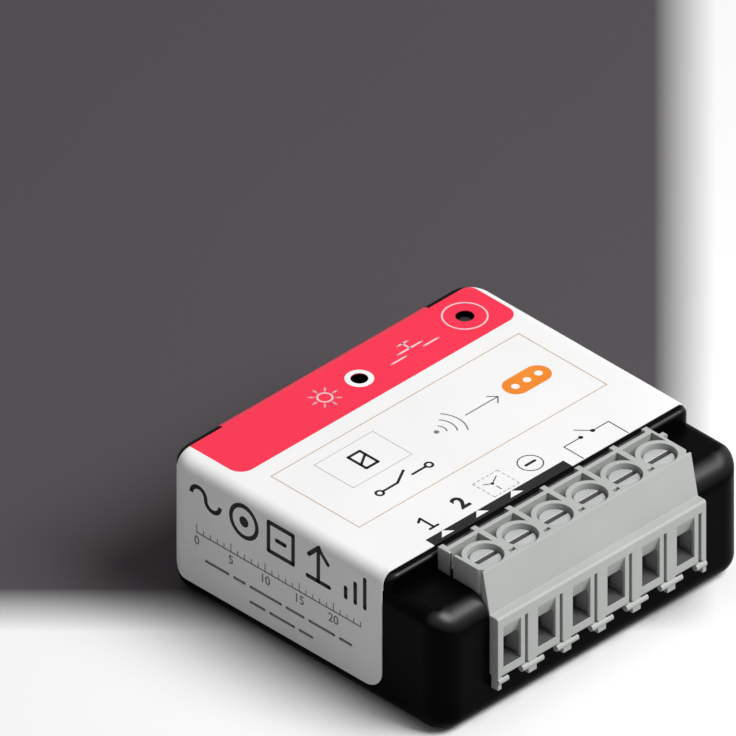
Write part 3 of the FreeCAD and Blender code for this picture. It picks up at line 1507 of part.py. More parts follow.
def make_can(index):
    """A lying electrolytic can, turned with its rolled groove, with its leads bent down."""
    label = f"smoothing_capacitor_{index + 1}"
    can = sheet_document.addObject("PartDesign::Body", f"{label}_can")
    profile = new_sketch(can, "XZ_Plane")
    outline(profile, [
        ("0", "0"),
        ("can_radius", "0"),
        ("can_radius", "can_groove_start"),
        ("can_radius - can_groove", "can_groove_start + 0.3"),
        ("can_radius - can_groove", "can_groove_start + 0.7"),
        ("can_radius", "can_groove_start + 1.0"),
        ("can_radius", f"{CAN_LENGTH} - can_chamfer"),
        ("can_radius - can_chamfer", CAN_LENGTH),
        ("0", CAN_LENGTH),
    ])
    revolve(can, profile)
    can.Placement.Rotation = FreeCAD.Rotation(FreeCAD.Vector(1, 0, 0), -90)
    height = f"{DECK} + can_radius + can_stand"
    place(can, can_x(index), CAN_FOOT, height)
    wires = [rod(f"can_{index}_wire_{i}", x, y, height, "lying_lead", "can_lead_bend + 0.3", "y")
             for i, (x, y) in enumerate(can_leads(index))]
    leads = lead_rods(f"can_{index}", can_leads(index), "thin_lead", "can_radius + can_stand + lead_elbow")
    finish(fused(label, [can] + wires + leads), label)


def make_choke():
    """A drum choke: a spool with two flanges, standing on its two pins."""
    choke = new_body("choke")
    profile = new_sketch(choke, "XZ_Plane")
    outline(profile, [
        ("0", DECK),
        ("choke_radius", DECK),
        ("choke_radius", f"{DECK} + choke_flange"),
        ("choke_radius - choke_waist", f"{DECK} + choke_flange"),
        ("choke_radius - choke_waist", f"{DECK} + choke_height - choke_flange"),
        ("choke_radius", f"{DECK} + choke_height - choke_flange"),
        ("choke_radius", f"{DECK} + choke_height"),
        ("0", f"{DECK} + choke_height"),
    ])
    revolve(choke, profile)
    for sign in ("-", ""):
        pin = new_sketch(choke, "XY_Plane", "board_height - lead_length")
        circle(pin, f"{sign}choke_lead_reach", "0", "thin_lead")
        pad(choke, pin, "board_thickness + lead_length + 0.3")
    place(choke, CHOKE_X, CHOKE_Y, "0")


def chip(label, name, x, y):
    """A small moulded package with legs bent flat onto the board along its two long sides."""
    legs = int(number(f"{name}_legs"))
    length = f"{name}_length"
    width = f"{name}_width"
    items = [box(f"{label}_mould", f"{x} - {length} / 2", f"{y} - {width} / 2", f"{DECK} + leg_thickness / 2",
                 f"{x} + {length} / 2", f"{y} + {width} / 2", f"{DECK} + {name}_height")]
    for index in range(legs):
        leg_x = f"({x} + {index - (legs - 1) / 2} * leg_pitch)"
        items.append(box(f"{label}_leg_{index}", f"{leg_x} - leg_width / 2", f"{y} - {width} / 2 - leg_reach",
                         DECK, f"{leg_x} + leg_width / 2", f"{y} + {width} / 2 + leg_reach",
                         f"{DECK} + leg_thickness"))
    return fused(label, items)


def make_chips():
    finish(chip("bridge_rectifier", "rectifier", RECTIFIER_X, RECTIFIER_Y), "bridge_rectifier")
    finish(chip("supply_controller", "controller", CONTROLLER_X, CONTROLLER_Y), "supply_controller")
    group("input_optocouplers", [chip("optocoupler_1", "optocoupler", OPTOCOUPLER_X, OPTOCOUPLER_Y)])


def make_chip_resistors():
    """Two short rows of chip resistors, one on each side of the indicator."""
    resistors = []
    for row_x, row_back in RESISTOR_ROWS:
        for index in range(int(number("resistor_row_count"))):
            x = f"({row_x} + {index} * resistor_pitch)"
            y = f"({BACK} - {row_back})"
            resistors.append(box(f"chip_resistor_{len(resistors)}", f"{x} - resistor_length / 2",
                                 f"{y} - resistor_width / 2", DECK, f"{x} + resistor_length / 2",
                                 f"{y} + resistor_width / 2", f"{DECK} + resistor_height"))
    group("chip_resistors", resistors)


def make_radio():
    """A small radio board with its chip under a screening can, and an antenna at its end."""
    top = f"({DECK} + radio_thickness)"
    finish(box("radio_board", RADIO_X, RADIO_Y, DECK, RADIO_END, RADIO_BACK, top), "radio_board")
    left = f"({RADIO_X} + shield_margin)"
    right = f"({RADIO_END} - antenna_zone)"
    near = f"({RADIO_Y} + shield_margin)"
    far = f"({RADIO_BACK} - shield_margin)"
    finish(box("radio_chip", f"{left} + radio_chip_margin", f"{near} + radio_chip_margin", top,
               f"{right} - radio_chip_margin", f"{far} - radio_chip_margin", f"{top} + radio_chip_height"),
           "radio_chip")
    shell = box("shield_outer", left, near, top, right, far, f"{top} + shield_height")
    space = box("shield_space", f"{left} + shield_wall", f"{near} + shield_wall", f"{top} - 1",
                f"{right} - shield_wall", f"{far} - shield_wall", f"{top} + shield_height - shield_wall")
    finish(less("radio_shield", shell, [space]), "radio_shield")
    make_antenna(number(RADIO_END), number(RADIO_Y), number(RADIO_BACK), number(top))


def make_antenna(end, front, back, low):
    """A small meander of stamped wire at the end of the radio board."""
    width = number("antenna_wire")
    pitch = number("antenna_pitch")
    margin = number("antenna_margin")
    runs = int(number("antenna_runs"))
    first = end - number("antenna_end_gap") - width - (runs - 1) * pitch
    bars = []
    for index in range(runs):
        left = first + index * pitch
        bars.append(block_solid(left, front + margin, low, left + width, back - margin, low + width))
        if index < runs - 1:
            near = back - margin - width if index % 2 == 0 else front + margin
            bars.append(block_solid(left, near, low, left + pitch + width, near + width, low + width))
    feature("radio_antenna", bars[0].fuse(bars[1:]).removeSplitter())


make_base_case()
make_top_cover()
make_label()
make_terminal_block()
for pole in range(int(number("pole_count"))):
    make_screw(pole)
    make_cage(pole)
make_contact_bars()
make_board()
make_relay()
make_plunger()
make_switch_housing()
make_stem()
make_dome()
make_switch_leads()
make_indicator()
make_film_capacitor()
make_varistor()
make_fuse()
make_can(0)
make_can(1)
make_choke()
make_chips()
make_chip_resistors()
make_radio()
sheet_document.recompute()

for item in sheet_document.Objects:
    if "Invalid" in item.State or "Error" in item.State:
        raise RuntimeError(f"{item.Label} did not compute: {item.State}")
faulty = [item.Label for item in nodes if item.Shape.isNull() or not item.Shape.isValid()]
if faulty:
    raise RuntimeError(f"no valid shape: {faulty}")

os.makedirs("parts", exist_ok=True)
for item in nodes:
    item.Shape.exportStep(f"parts/{item.Label}.step")
print(len(nodes), "sub-parts written")
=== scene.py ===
import json
import math

import bmesh
import bpy
from mathutils import Matrix, Vector


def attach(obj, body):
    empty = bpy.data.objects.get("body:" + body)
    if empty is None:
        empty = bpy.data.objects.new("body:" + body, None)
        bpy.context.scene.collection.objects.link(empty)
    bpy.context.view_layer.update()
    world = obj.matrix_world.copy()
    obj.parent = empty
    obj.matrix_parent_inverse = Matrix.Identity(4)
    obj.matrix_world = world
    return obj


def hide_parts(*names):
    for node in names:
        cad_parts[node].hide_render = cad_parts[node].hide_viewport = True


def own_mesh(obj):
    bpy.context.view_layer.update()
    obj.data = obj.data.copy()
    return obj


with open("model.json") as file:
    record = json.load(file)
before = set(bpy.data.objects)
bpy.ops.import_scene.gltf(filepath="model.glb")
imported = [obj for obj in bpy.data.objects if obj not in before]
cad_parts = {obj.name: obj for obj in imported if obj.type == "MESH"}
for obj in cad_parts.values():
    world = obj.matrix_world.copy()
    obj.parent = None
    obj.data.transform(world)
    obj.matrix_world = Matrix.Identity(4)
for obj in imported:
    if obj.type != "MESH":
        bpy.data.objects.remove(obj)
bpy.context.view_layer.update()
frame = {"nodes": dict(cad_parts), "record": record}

# Sizes up to the materials are millimetres in the row frame, unless a comment says metres.
# MM turns them into Blender's metres.
MM = 0.001
MODULE = "module"

# The snap disc under the button: how its copy is merged and shaded
MERGE_WITHIN = 0.001
SHARP_FROM = math.radians(30)

# The photograph's frame: an isometric view without perspective. The aim is the picture's middle,
# measured from the origin along the picture's right and up.
PHOTO_PIXELS = 736
PIXELS_PER_MM = 9.656
VIEW_RIGHT = Vector((1, -1, 0)).normalized()
VIEW_BACK = Vector((-1, -1, 1)).normalized()
AIM_RIGHT = -9.105
AIM_UP = 21.591

# The floor's half width and the camera's distance in metres, and the strengths of the white world
# as light and as background
FLOOR_HALF = 3.0
CAMERA_DISTANCE = 0.6
WORLD_LIGHT = 0.16
WORLD_SHOWN = 0.95

# The dark area behind the object: where it fades in along X + Y and out along X - Y
BACKDROP_FRONT = (-14, -3)
BACKDROP_RIGHT = (29, 38)

# The label: its flat top and left side, its edge's radius, half its back tab's width, and the line
# behind which it is black beside the tab
LABEL_TOP = 17.0
LABEL_SIDE = 22.35
LABEL_EDGE = 1.5
LABEL_TAB = 15.05
BLACK_MARGIN = 19.06

# Print: its thickness, how deep it sinks into the film, and how finely arcs and bends are divided
INK = 0.012
INK_SUNK = 0.002
DEGREES_PER_STEP = 5
BEND_STEPS = 8
BEND_STEP = 0.2

# What is printed on the label's top, as boxes (left, front, right, back), points and radii
BAND_FRONT = 11.53
BAND_LEFT = -19.97
BAND_RIGHT = 21.0
BAND_CORNER = 1.7
BAND_DEPTH = 60.0
BAND_BLUR = 0.02
BUTTON = (16.7, 15.4)
BUTTON_RING = 2.38
INDICATOR = (1.05, 15.2)
INDICATOR_HOLE = 0.93
INDICATOR_RING = 1.54
FRAME_BOX = (-17.83, -3.68, 18.41, 9.22)
SYMBOL_BOX = (-13.26, 1.74, -4.68, 7.51)
STRIP = (-14.62, -11.478, 5.56, -10.16)
STRIP_REACH = 0.006
STRIP_DEPTH = 0.2
MARK_LINE = -8.05

# Widths of printed lines
FINE_LINE = 0.08
FRAME_LINE = 0.11
SWITCH_LINE = 0.12
MARK_OUTLINE = 0.13
BOLD_LINE = 0.3

# The terminal block: its poles and screws, the wire mouth of each pole from the pole's middle,
# the joining groove in the left end and the slot across each screw head. Painted shade darkens the
# inside of the mouths, the groove and the slots.
POLE_PITCH = 5.08
FIRST_POLE = -12.7
SCREW_LINE = -17.03
MOUTH_LEFT = -1.85
MOUTH_RIGHT = 0.92
MOUTH_FACE = -21.38
MOUTH_SHADE_START = -21.08
MOUTH_SHADE_BLUR = 0.06
MOUTH_THROAT = 9.55
JOIN_LEFT = -15.2
JOIN_RIGHT = -14.3
JOIN_LINE = -14.75
JOIN_HALF = 0.5
JOIN_TOP = 17.6
SLOT_HALF = 0.31
HEAD_TOP = 17.19

# The distance in metres between the turning marks on a screw head
TURNING_RING = 0.00012

# Values without a unit: the part of a noise texture's range that is used, and how strong effects are
NOISE_RANGE = (0.3, 0.7)
# How strongly painted shade darkens the mouths' side walls, and how level a mouth's floor must be to take
# it in full
MOUTH_WALL_SHADE = 0.48
FLOOR_FACES_UP = 0.7
EDGE_GAIN = 6.0
WORN_SHARE = 0.6
ROUGHNESS_DRIFT = 0.04
BUMP_STRENGTH = 0.25
RIM_ROUGHNESS = 0.36

# The direction parts of a normal between which the painted sheen on the upper rims comes and goes
RIM_LOW = 0.25
RIM_RISE = 0.5
RIM_TOP = (0.93, 0.995)
RIM_FRONT = (-0.5, -0.1)


# Geometry helpers

def ink_box(shaping, x0, y0, x1, y1, corner=0.0):
    """A flat printed rectangle, with rounded corners if asked."""
    size = Matrix.Diagonal((x1 - x0, y1 - y0, INK, 1))
    middle = Matrix.Translation(((x0 + x1) / 2, (y0 + y1) / 2, INK / 2))
    made = bmesh.ops.create_cube(shaping, size=1, matrix=middle @ size)
    if corner:
        upright = {edge for vert in made["verts"] for edge in vert.link_edges
                   if abs(edge.verts[0].co.z - edge.verts[1].co.z) > INK / 2}
        bmesh.ops.bevel(shaping, geom=list(upright), offset=corner, segments=8, affect="EDGES",
                        profile=0.5, material=-1)


def ink_dot(shaping, x, y, radius):
    """A round spot."""
    bmesh.ops.create_cone(shaping, cap_ends=True, segments=32, radius1=radius, radius2=radius, depth=INK,
                          matrix=Matrix.Translation((x, y, INK / 2)))


def ink_line(shaping, points, width, closed=False):
    """A stroke through points with round joints."""
    runs = list(zip(points, points[1:] + points[:1])) if closed else list(zip(points, points[1:]))
    for (xa, ya), (xb, yb) in runs:
        length = math.hypot(xb - xa, yb - ya)
        turn = Matrix.Rotation(math.atan2(yb - ya, xb - xa), 4, "Z")
        middle = Matrix.Translation(((xa + xb) / 2, (ya + yb) / 2, INK / 2))
        size = Matrix.Diagonal((length, width, INK, 1))
        bmesh.ops.create_cube(shaping, size=1, matrix=middle @ turn @ size)
    for x, y in points:
        ink_dot(shaping, x, y, width / 2)


def ink_arc(shaping, x, y, radius, width, start=0.0, sweep=360.0):
    """A ring, or a part of one between two angles."""
    whole = abs(sweep) >= 360
    inner = radius - width / 2
    outer = radius + width / 2
    turn = Matrix.Translation((x, y, 0)) @ Matrix.Rotation(math.radians(start), 4, "Z")
    section = [shaping.verts.new(turn @ Vector(corner))
               for corner in ((inner, 0, 0), (outer, 0, 0), (outer, 0, INK), (inner, 0, INK))]
    edges = [shaping.edges.new((section[k], section[(k + 1) % 4])) for k in range(4)]
    steps = max(8, int(abs(sweep) / DEGREES_PER_STEP))
    made = bmesh.ops.spin(shaping, geom=section + edges, cent=(x, y, 0), axis=(0, 0, 1),
                          angle=math.radians(sweep), steps=steps, use_merge=whole)
    if not whole:
        last = [item for item in made["geom_last"] if isinstance(item, bmesh.types.BMEdge)]
        for rim in (edges, last):
            bmesh.ops.edgenet_fill(shaping, edges=rim)


def ink_triangle(shaping, x, y, width, height):
    """A triangle on its base at y, or standing on its point where height is negative."""
    bmesh.ops.create_cone(shaping, cap_ends=True, segments=3, radius1=1, radius2=1, depth=INK,
                          matrix=Matrix.Translation((x, y + height / 3, INK / 2))
                          @ Matrix.Diagonal((width / math.sqrt(3), height / 1.5, 1, 1)))


def ink_figure(shaping, text, x, y, size, weight=0.04):
    """A plain number in the built-in face, thickened a little, centred on a point."""
    curve = bpy.data.curves.new("figure", "FONT")
    curve.body = text
    curve.size = size
    curve.offset = weight
    curve.align_x = "CENTER"
    curve.align_y = "CENTER"
    curve.extrude = INK / 2
    carrier = bpy.data.objects.new("figure", curve)
    flat = bpy.data.meshes.new_from_object(carrier)
    flat.transform(Matrix.Translation((x, y, INK / 2)))
    shaping.from_mesh(flat)
    bpy.data.objects.remove(carrier)
    bpy.data.curves.remove(curve)
    bpy.data.meshes.remove(flat)


def bend_over_edge(shaping):
    """Bends print that reaches past the flat side of the label over its rounded upper edge."""
    flat = LABEL_TOP - LABEL_EDGE
    for step in range(BEND_STEPS):
        bmesh.ops.bisect_plane(shaping, geom=shaping.verts[:] + shaping.edges[:] + shaping.faces[:],
                               plane_co=(0, flat + BEND_STEP * step, 0), plane_no=(0, 1, 0))
    for vert in shaping.verts:
        angle = max(0.0, vert.co.y - flat) / LABEL_EDGE
        if angle:
            reach = LABEL_EDGE + vert.co.z
            vert.co.y = flat + reach * math.sin(angle)
            vert.co.z = reach * math.cos(angle) - LABEL_EDGE


def add_piece(name, shaping, place, material, body=MODULE):
    """Makes an object of a shape drawn in millimetres and puts its place in its mesh."""
    bmesh.ops.recalc_face_normals(shaping, faces=shaping.faces)
    mesh = bpy.data.meshes.new(name)
    shaping.to_mesh(mesh)
    shaping.free()
    mesh.transform(Matrix.Diagonal((MM, MM, MM, 1)) @ place)
    mesh.materials.append(material)
    piece = bpy.data.objects.new(name, mesh)
    bpy.context.scene.collection.objects.link(piece)
    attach(piece, body)
    return piece


def add_print(name, shaping, place, colour):
    """Puts a printed shape on the label film."""
    add_piece(name, shaping, place, colour)


ON_TOP = Matrix.Translation((0, 0, LABEL_TOP - INK_SUNK))
ON_PRINT = ON_TOP @ Matrix.Translation((0, 0, INK / 2))
# On the left side the print reads from the back to the front, with up along +Z.
ON_LEFT_SIDE = Matrix(((0, 0, -1, -LABEL_SIDE + INK_SUNK), (-1, 0, 0, 0), (0, 1, 0, 0), (0, 0, 0, 1)))


# Shared shader effects

def new_group(name, inputs, outputs):
    """A node group with its sockets: inputs as (name, kind, value), outputs as (name, kind)."""
    group = bpy.data.node_groups.new(name, "ShaderNodeTree")
    for title, kind, value in inputs:
        socket = group.interface.new_socket(name=title, in_out="INPUT", socket_type=kind)
        socket.default_value = value
    for title, kind in outputs:
        group.interface.new_socket(name=title, in_out="OUTPUT", socket_type=kind)
    return group


class Wiring:
    """Adds nodes to a tree and joins them, in reading order."""

    def __init__(self, tree):
        self.tree = tree
        self.count = 0

    def add(self, kind, title=None, **values):
        """A new node of a kind, with its label and its settings."""
        node = self.tree.nodes.new(kind)
        node.location = (200 * (self.count % 8), -220 * (self.count // 8))
        self.count += 1
        if title:
            node.label = title
        for key, value in values.items():
            setattr(node, key, value)
        return node

    def join(self, source, target):
        """Joins an output to an input."""
        self.tree.links.new(source, target)

    def maths(self, operation, first, second=0.0, third=None):
        """The result of a sum on numbers or other nodes' outputs."""
        node = self.add("ShaderNodeMath", operation=operation)
        for socket, value in zip(node.inputs, (first, second, third)):
            if isinstance(value, (int, float)):
                socket.default_value = value
            elif value is not None:
                self.join(value, socket)
        return node.outputs[0]

    def product(self, *factors):
        """All factors multiplied, which for masks is where they overlap."""
        result = factors[0]
        for factor in factors[1:]:
            result = self.maths("MULTIPLY", result, factor)
        return result

    def place(self):
        """The point on the surface in the row frame, in metres."""
        return self.add("ShaderNodeTexCoord").outputs["Object"]

    def parts_of(self, vector):
        """The X, Y and Z outputs of a vector."""
        apart = self.add("ShaderNodeSeparateXYZ")
        self.join(vector, apart.inputs[0])
        return apart.outputs

    def normal(self):
        """The direction the surface faces in the world's frame."""
        return self.add("ShaderNodeNewGeometry").outputs["Normal"]


def spread(wiring, value, low, high, out_low, out_high):
    """Carries a value from one range over to another, and holds it there."""
    node = wiring.add("ShaderNodeMapRange")
    node.inputs["From Min"].default_value = low
    node.inputs["From Max"].default_value = high
    node.inputs["To Min"].default_value = out_low
    node.inputs["To Max"].default_value = out_high
    wiring.join(value, node.inputs["Value"])
    return node.outputs["Result"]


def make_grain_group():
    """Fine moulded grain with slow, faint unevenness. Size is the grain's own size in metres."""
    group = new_group("moulded_grain",
                      [("Size", "NodeSocketFloat", 0.0003), ("Drift", "NodeSocketFloat", 0.01)],
                      [("Height", "NodeSocketFloat"), ("Tone", "NodeSocketFloat")])
    wiring = Wiring(group)
    given = wiring.add("NodeGroupInput")
    result = wiring.add("NodeGroupOutput")
    place = wiring.place()
    fine = wiring.add("ShaderNodeTexNoise", "grain")
    fine.inputs["Detail"].default_value = 3.0
    fine.inputs["Roughness"].default_value = 0.55
    wiring.join(place, fine.inputs["Vector"])
    wiring.join(wiring.maths("DIVIDE", 1.0, given.outputs["Size"]), fine.inputs["Scale"])
    slow = wiring.add("ShaderNodeTexNoise", "drift")
    slow.inputs["Detail"].default_value = 2.0
    wiring.join(place, slow.inputs["Vector"])
    wiring.join(wiring.maths("DIVIDE", 1.0, given.outputs["Drift"]), slow.inputs["Scale"])
    wiring.join(fine.outputs["Fac"], result.inputs["Height"])
    wiring.join(slow.outputs["Fac"], result.inputs["Tone"])
    return group


def make_soft_edge_group():
    """A rounded normal along hard edges, and a mask of those edges. Radius is in metres."""
    group = new_group("soft_edge", [("Radius", "NodeSocketFloat", 0.0001)],
                      [("Normal", "NodeSocketVector"), ("Edge", "NodeSocketFloat")])
    wiring = Wiring(group)
    given = wiring.add("NodeGroupInput")
    result = wiring.add("NodeGroupOutput")
    rounded = wiring.add("ShaderNodeBevel", samples=6)
    wiring.join(given.outputs["Radius"], rounded.inputs["Radius"])
    likeness = wiring.add("ShaderNodeVectorMath", operation="DOT_PRODUCT")
    wiring.join(rounded.outputs["Normal"], likeness.inputs[0])
    wiring.join(wiring.normal(), likeness.inputs[1])
    away = wiring.maths("SUBTRACT", 1.0, likeness.outputs["Value"])
    held = wiring.maths("MINIMUM", wiring.maths("MULTIPLY", away, EDGE_GAIN), 1.0)
    wiring.join(rounded.outputs["Normal"], result.inputs["Normal"])
    wiring.join(held, result.inputs["Edge"])
    return group


def fold_to_pole(wiring, across, half):
    """Folds X back by the pitch, so that one pole's pattern serves the whole row."""
    shifted = wiring.maths("SUBTRACT", across, FIRST_POLE * MM)
    return wiring.maths("WRAP", shifted, half, wiring.maths("MULTIPLY", half, -1.0))


def make_turned_group():
    """Turning marks in rings round each screw of the row. X is folded back by the pitch."""
    group = new_group("turned_rings",
                      [("Pitch", "NodeSocketFloat", POLE_PITCH * MM),
                       ("Line", "NodeSocketFloat", SCREW_LINE * MM),
                       ("Ring", "NodeSocketFloat", TURNING_RING)],
                      [("Height", "NodeSocketFloat")])
    wiring = Wiring(group)
    given = wiring.add("NodeGroupInput")
    result = wiring.add("NodeGroupOutput")
    place = wiring.parts_of(wiring.place())
    half = wiring.maths("MULTIPLY", given.outputs["Pitch"], 0.5)
    folded = fold_to_pole(wiring, place["X"], half)
    across = wiring.maths("SUBTRACT", place["Y"], given.outputs["Line"])
    spot = wiring.add("ShaderNodeCombineXYZ")
    wiring.join(folded, spot.inputs["X"])
    wiring.join(across, spot.inputs["Y"])
    distance = wiring.add("ShaderNodeVectorMath", operation="LENGTH")
    wiring.join(spot.outputs[0], distance.inputs[0])
    turns = wiring.maths("DIVIDE", distance.outputs["Value"], given.outputs["Ring"])
    angle = wiring.maths("MULTIPLY", turns, 2 * math.pi)
    wiring.join(wiring.maths("SINE", angle), result.inputs["Height"])
    return group


def make_window_group():
    """Marks where painted shade darkens the inside of every wire mouth behind its front frame, below its
    sloped roof, and the joining groove in the left end."""
    group = new_group("mouth_painted_shade", [("Pitch", "NodeSocketFloat", POLE_PITCH * MM)],
                      [("Mask", "NodeSocketFloat")])
    wiring = Wiring(group)
    given = wiring.add("NodeGroupInput")
    result = wiring.add("NodeGroupOutput")
    place = wiring.parts_of(wiring.place())
    half = wiring.maths("MULTIPLY", given.outputs["Pitch"], 0.5)
    folded = fold_to_pole(wiring, place["X"], half)
    right_of = wiring.maths("GREATER_THAN", folded, MOUTH_LEFT * MM)
    left_of = wiring.maths("LESS_THAN", folded, MOUTH_RIGHT * MM)
    low = wiring.maths("LESS_THAN", place["Z"], MOUTH_THROAT * MM)
    deep = spread(wiring, place["Y"], (MOUTH_SHADE_START - MOUTH_SHADE_BLUR) * MM,
                  (MOUTH_SHADE_START + MOUTH_SHADE_BLUR) * MM, 0.0, MOUTH_WALL_SHADE)
    level = wiring.maths("GREATER_THAN", wiring.parts_of(wiring.normal())["Z"], FLOOR_FACES_UP)
    behind_face = wiring.maths("GREATER_THAN", place["Y"], MOUTH_FACE * MM)
    shaded = wiring.maths("MAXIMUM", deep, wiring.product(level, behind_face))
    mouths = wiring.product(right_of, left_of, low, shaded)
    # The joining groove takes the same painted shade.
    inwards = wiring.maths("GREATER_THAN", place["X"], JOIN_LEFT * MM)
    outwards = wiring.maths("LESS_THAN", place["X"], JOIN_RIGHT * MM)
    off_line = wiring.maths("ABSOLUTE", wiring.maths("SUBTRACT", place["Y"], JOIN_LINE * MM))
    along = wiring.maths("LESS_THAN", off_line, JOIN_HALF * MM)
    below_top = wiring.maths("LESS_THAN", place["Z"], JOIN_TOP * MM)
    groove = wiring.product(inwards, outwards, along, below_top)
    wiring.join(wiring.maths("MAXIMUM", mouths, groove), result.inputs["Mask"])
    return group


def make_slot_group():
    """Marks the inside of the slot across each screw head, where painted shade darkens it."""
    group = new_group("slot_painted_shade", [("Line", "NodeSocketFloat", SCREW_LINE * MM)],
                      [("Mask", "NodeSocketFloat")])
    wiring = Wiring(group)
    given = wiring.add("NodeGroupInput")
    result = wiring.add("NodeGroupOutput")
    place = wiring.parts_of(wiring.place())
    off_line = wiring.maths("SUBTRACT", place["Y"], given.outputs["Line"])
    near = wiring.maths("LESS_THAN", wiring.maths("ABSOLUTE", off_line), SLOT_HALF * MM)
    below = wiring.maths("LESS_THAN", place["Z"], HEAD_TOP * MM)
    wiring.join(wiring.product(near, below), result.inputs["Mask"])
    return group


def make_upper_rim_group():
    """Marks rounded edges that face upwards and to the front, where a coat lays a painted sheen that
    catches the lamps.
    """
    group = new_group("rim_painted_sheen", [("Low", "NodeSocketFloat", RIM_LOW)], [("Mask", "NodeSocketFloat")])
    wiring = Wiring(group)
    given = wiring.add("NodeGroupInput")
    result = wiring.add("NodeGroupOutput")
    facing = wiring.parts_of(wiring.normal())
    above = wiring.maths("SUBTRACT", facing["Z"], given.outputs["Low"])
    rising = spread(wiring, above, 0.0, RIM_RISE, 0.0, 1.0)
    fading = spread(wiring, facing["Z"], *RIM_TOP, 1.0, 0.0)
    forward = spread(wiring, facing["Y"], *RIM_FRONT, 1.0, 0.0)
    wiring.join(wiring.product(rising, fading, forward), result.inputs["Mask"])
    return group


GRAIN = make_grain_group()
SOFT_EDGE = make_soft_edge_group()
TURNED = make_turned_group()
PAINTED_MOUTH_SHADE = make_window_group()
PAINTED_SLOT_SHADE = make_slot_group()
PAINTED_RIM_SHEEN = make_upper_rim_group()


# Materials

def new_material(name):
    """A material with its wiring and its main shader."""
    material = bpy.data.materials.new(name)
    material.use_nodes = True
    wiring = Wiring(material.node_tree)
    shader = material.node_tree.nodes["Principled BSDF"]
    shader.location = (2200, 0)
    material.node_tree.nodes["Material Output"].location = (2600, 0)
    return material, wiring, shader


def place_group(wiring, group, **values):
    """Puts a shared group into a tree and sets its inputs."""
    node = wiring.add("ShaderNodeGroup")
    node.node_tree = group
    for key, value in values.items():
        node.inputs[key].default_value = value
    return node


def blend_colour(wiring, amount, first, second):
    """A colour between two, each given as numbers or as another node's output."""
    node = wiring.add("ShaderNodeMix", data_type="RGBA")
    wiring.join(amount, node.inputs["Factor"])
    for socket, value in ((node.inputs["A"], first), (node.inputs["B"], second)):
        if isinstance(value, tuple):
            socket.default_value = (*value, 1.0)
        else:
            wiring.join(value, socket)
    return node.outputs["Result"]


def uneven_tone(wiring, texture, dark, light):
    """A colour that drifts slowly between two close tones."""
    share = spread(wiring, texture.outputs["Tone"], *NOISE_RANGE, 0.0, 1.0)
    return blend_colour(wiring, share, dark, light)


def uneven_roughness(wiring, shader, texture, low, high):
    """A roughness that follows the grain."""
    roughness = spread(wiring, texture.outputs["Height"], *NOISE_RANGE, low, high)
    wiring.join(roughness, shader.inputs["Roughness"])


def add_bump(wiring, shader, height, strength, depth, normal=None):
    """Gives the shader fine relief over its own or a softened normal. Depth is in metres."""
    bump = wiring.add("ShaderNodeBump")
    bump.inputs["Strength"].default_value = strength
    bump.inputs["Distance"].default_value = depth
    wiring.join(height, bump.inputs["Height"])
    if normal is not None:
        wiring.join(normal, bump.inputs["Normal"])
    wiring.join(bump.outputs["Normal"], shader.inputs["Normal"])


def surface(name, dark, light, roughness, metallic=0.0, specular=0.5, grain=0.0003, drift=0.008,
            depth=0.00001, edge_radius=0.0001, edge_colour=None, rings=False, coat=0.0,
            shade=None, painted_shade_colour=None, painted_sheen_coat=0.0):
    """A moulded or metal finish: uneven tone, grain, softened edges and slightly worn edge colour.
    A shade is a group whose mask marks painted shade, where the colour is darkened to the shade colour.
    A rim coat lays a painted sheen on rims that face up and to the front. Grain, drift, depth and edge
    radius are in metres."""
    material, wiring, shader = new_material(name)
    texture = place_group(wiring, GRAIN, Size=grain, Drift=drift)
    edges = place_group(wiring, SOFT_EDGE, Radius=edge_radius)
    colour = uneven_tone(wiring, texture, dark, light)
    if edge_colour:
        worn = wiring.maths("MULTIPLY", edges.outputs["Edge"], WORN_SHARE)
        colour = blend_colour(wiring, worn, colour, edge_colour)
    # Painted shade: the colour is darkened where the shade group's mask lies.
    if shade:
        colour = blend_colour(wiring, place_group(wiring, shade).outputs["Mask"], colour, painted_shade_colour)
    wiring.join(colour, shader.inputs["Base Color"])
    uneven_roughness(wiring, shader, texture, roughness - ROUGHNESS_DRIFT, roughness + ROUGHNESS_DRIFT)
    height = texture.outputs["Height"]
    if rings:
        height = wiring.maths("ADD", height, place_group(wiring, TURNED).outputs["Height"])
    add_bump(wiring, shader, height, BUMP_STRENGTH, depth, edges.outputs["Normal"])
    shader.inputs["Metallic"].default_value = metallic
    shader.inputs["Specular IOR Level"].default_value = specular
    shader.inputs["Coat Weight"].default_value = coat
    # Painted sheen: a coat only on rims that face up and to the front.
    if painted_sheen_coat:
        rim = place_group(wiring, PAINTED_RIM_SHEEN)
        wiring.join(wiring.maths("MULTIPLY", rim.outputs["Mask"], painted_sheen_coat), shader.inputs["Coat Weight"])
        shader.inputs["Coat Roughness"].default_value = RIM_ROUGHNESS
    return material


def strip_edge(wiring, place):
    """Marks the label's front edge face where the dark strip is printed over it."""
    before = wiring.maths("LESS_THAN", place["Y"], (STRIP[1] + STRIP_REACH) * MM)
    right = wiring.maths("GREATER_THAN", place["X"], STRIP[0] * MM)
    left = wiring.maths("LESS_THAN", place["X"], STRIP[2] * MM)
    high = wiring.maths("GREATER_THAN", place["Z"], (LABEL_TOP - STRIP_DEPTH) * MM)
    return wiring.product(before, right, left, high)


def back_margin(wiring, place):
    """Marks the label's rounded back edge beside the tab, where the film is black."""
    behind = wiring.maths("GREATER_THAN", place["Y"], BLACK_MARGIN * MM)
    beside = wiring.maths("GREATER_THAN", wiring.maths("ABSOLUTE", place["X"]), LABEL_TAB * MM)
    high = wiring.maths("GREATER_THAN", place["Z"], (LABEL_TOP - LABEL_EDGE) * MM)
    return wiring.product(behind, beside, high)


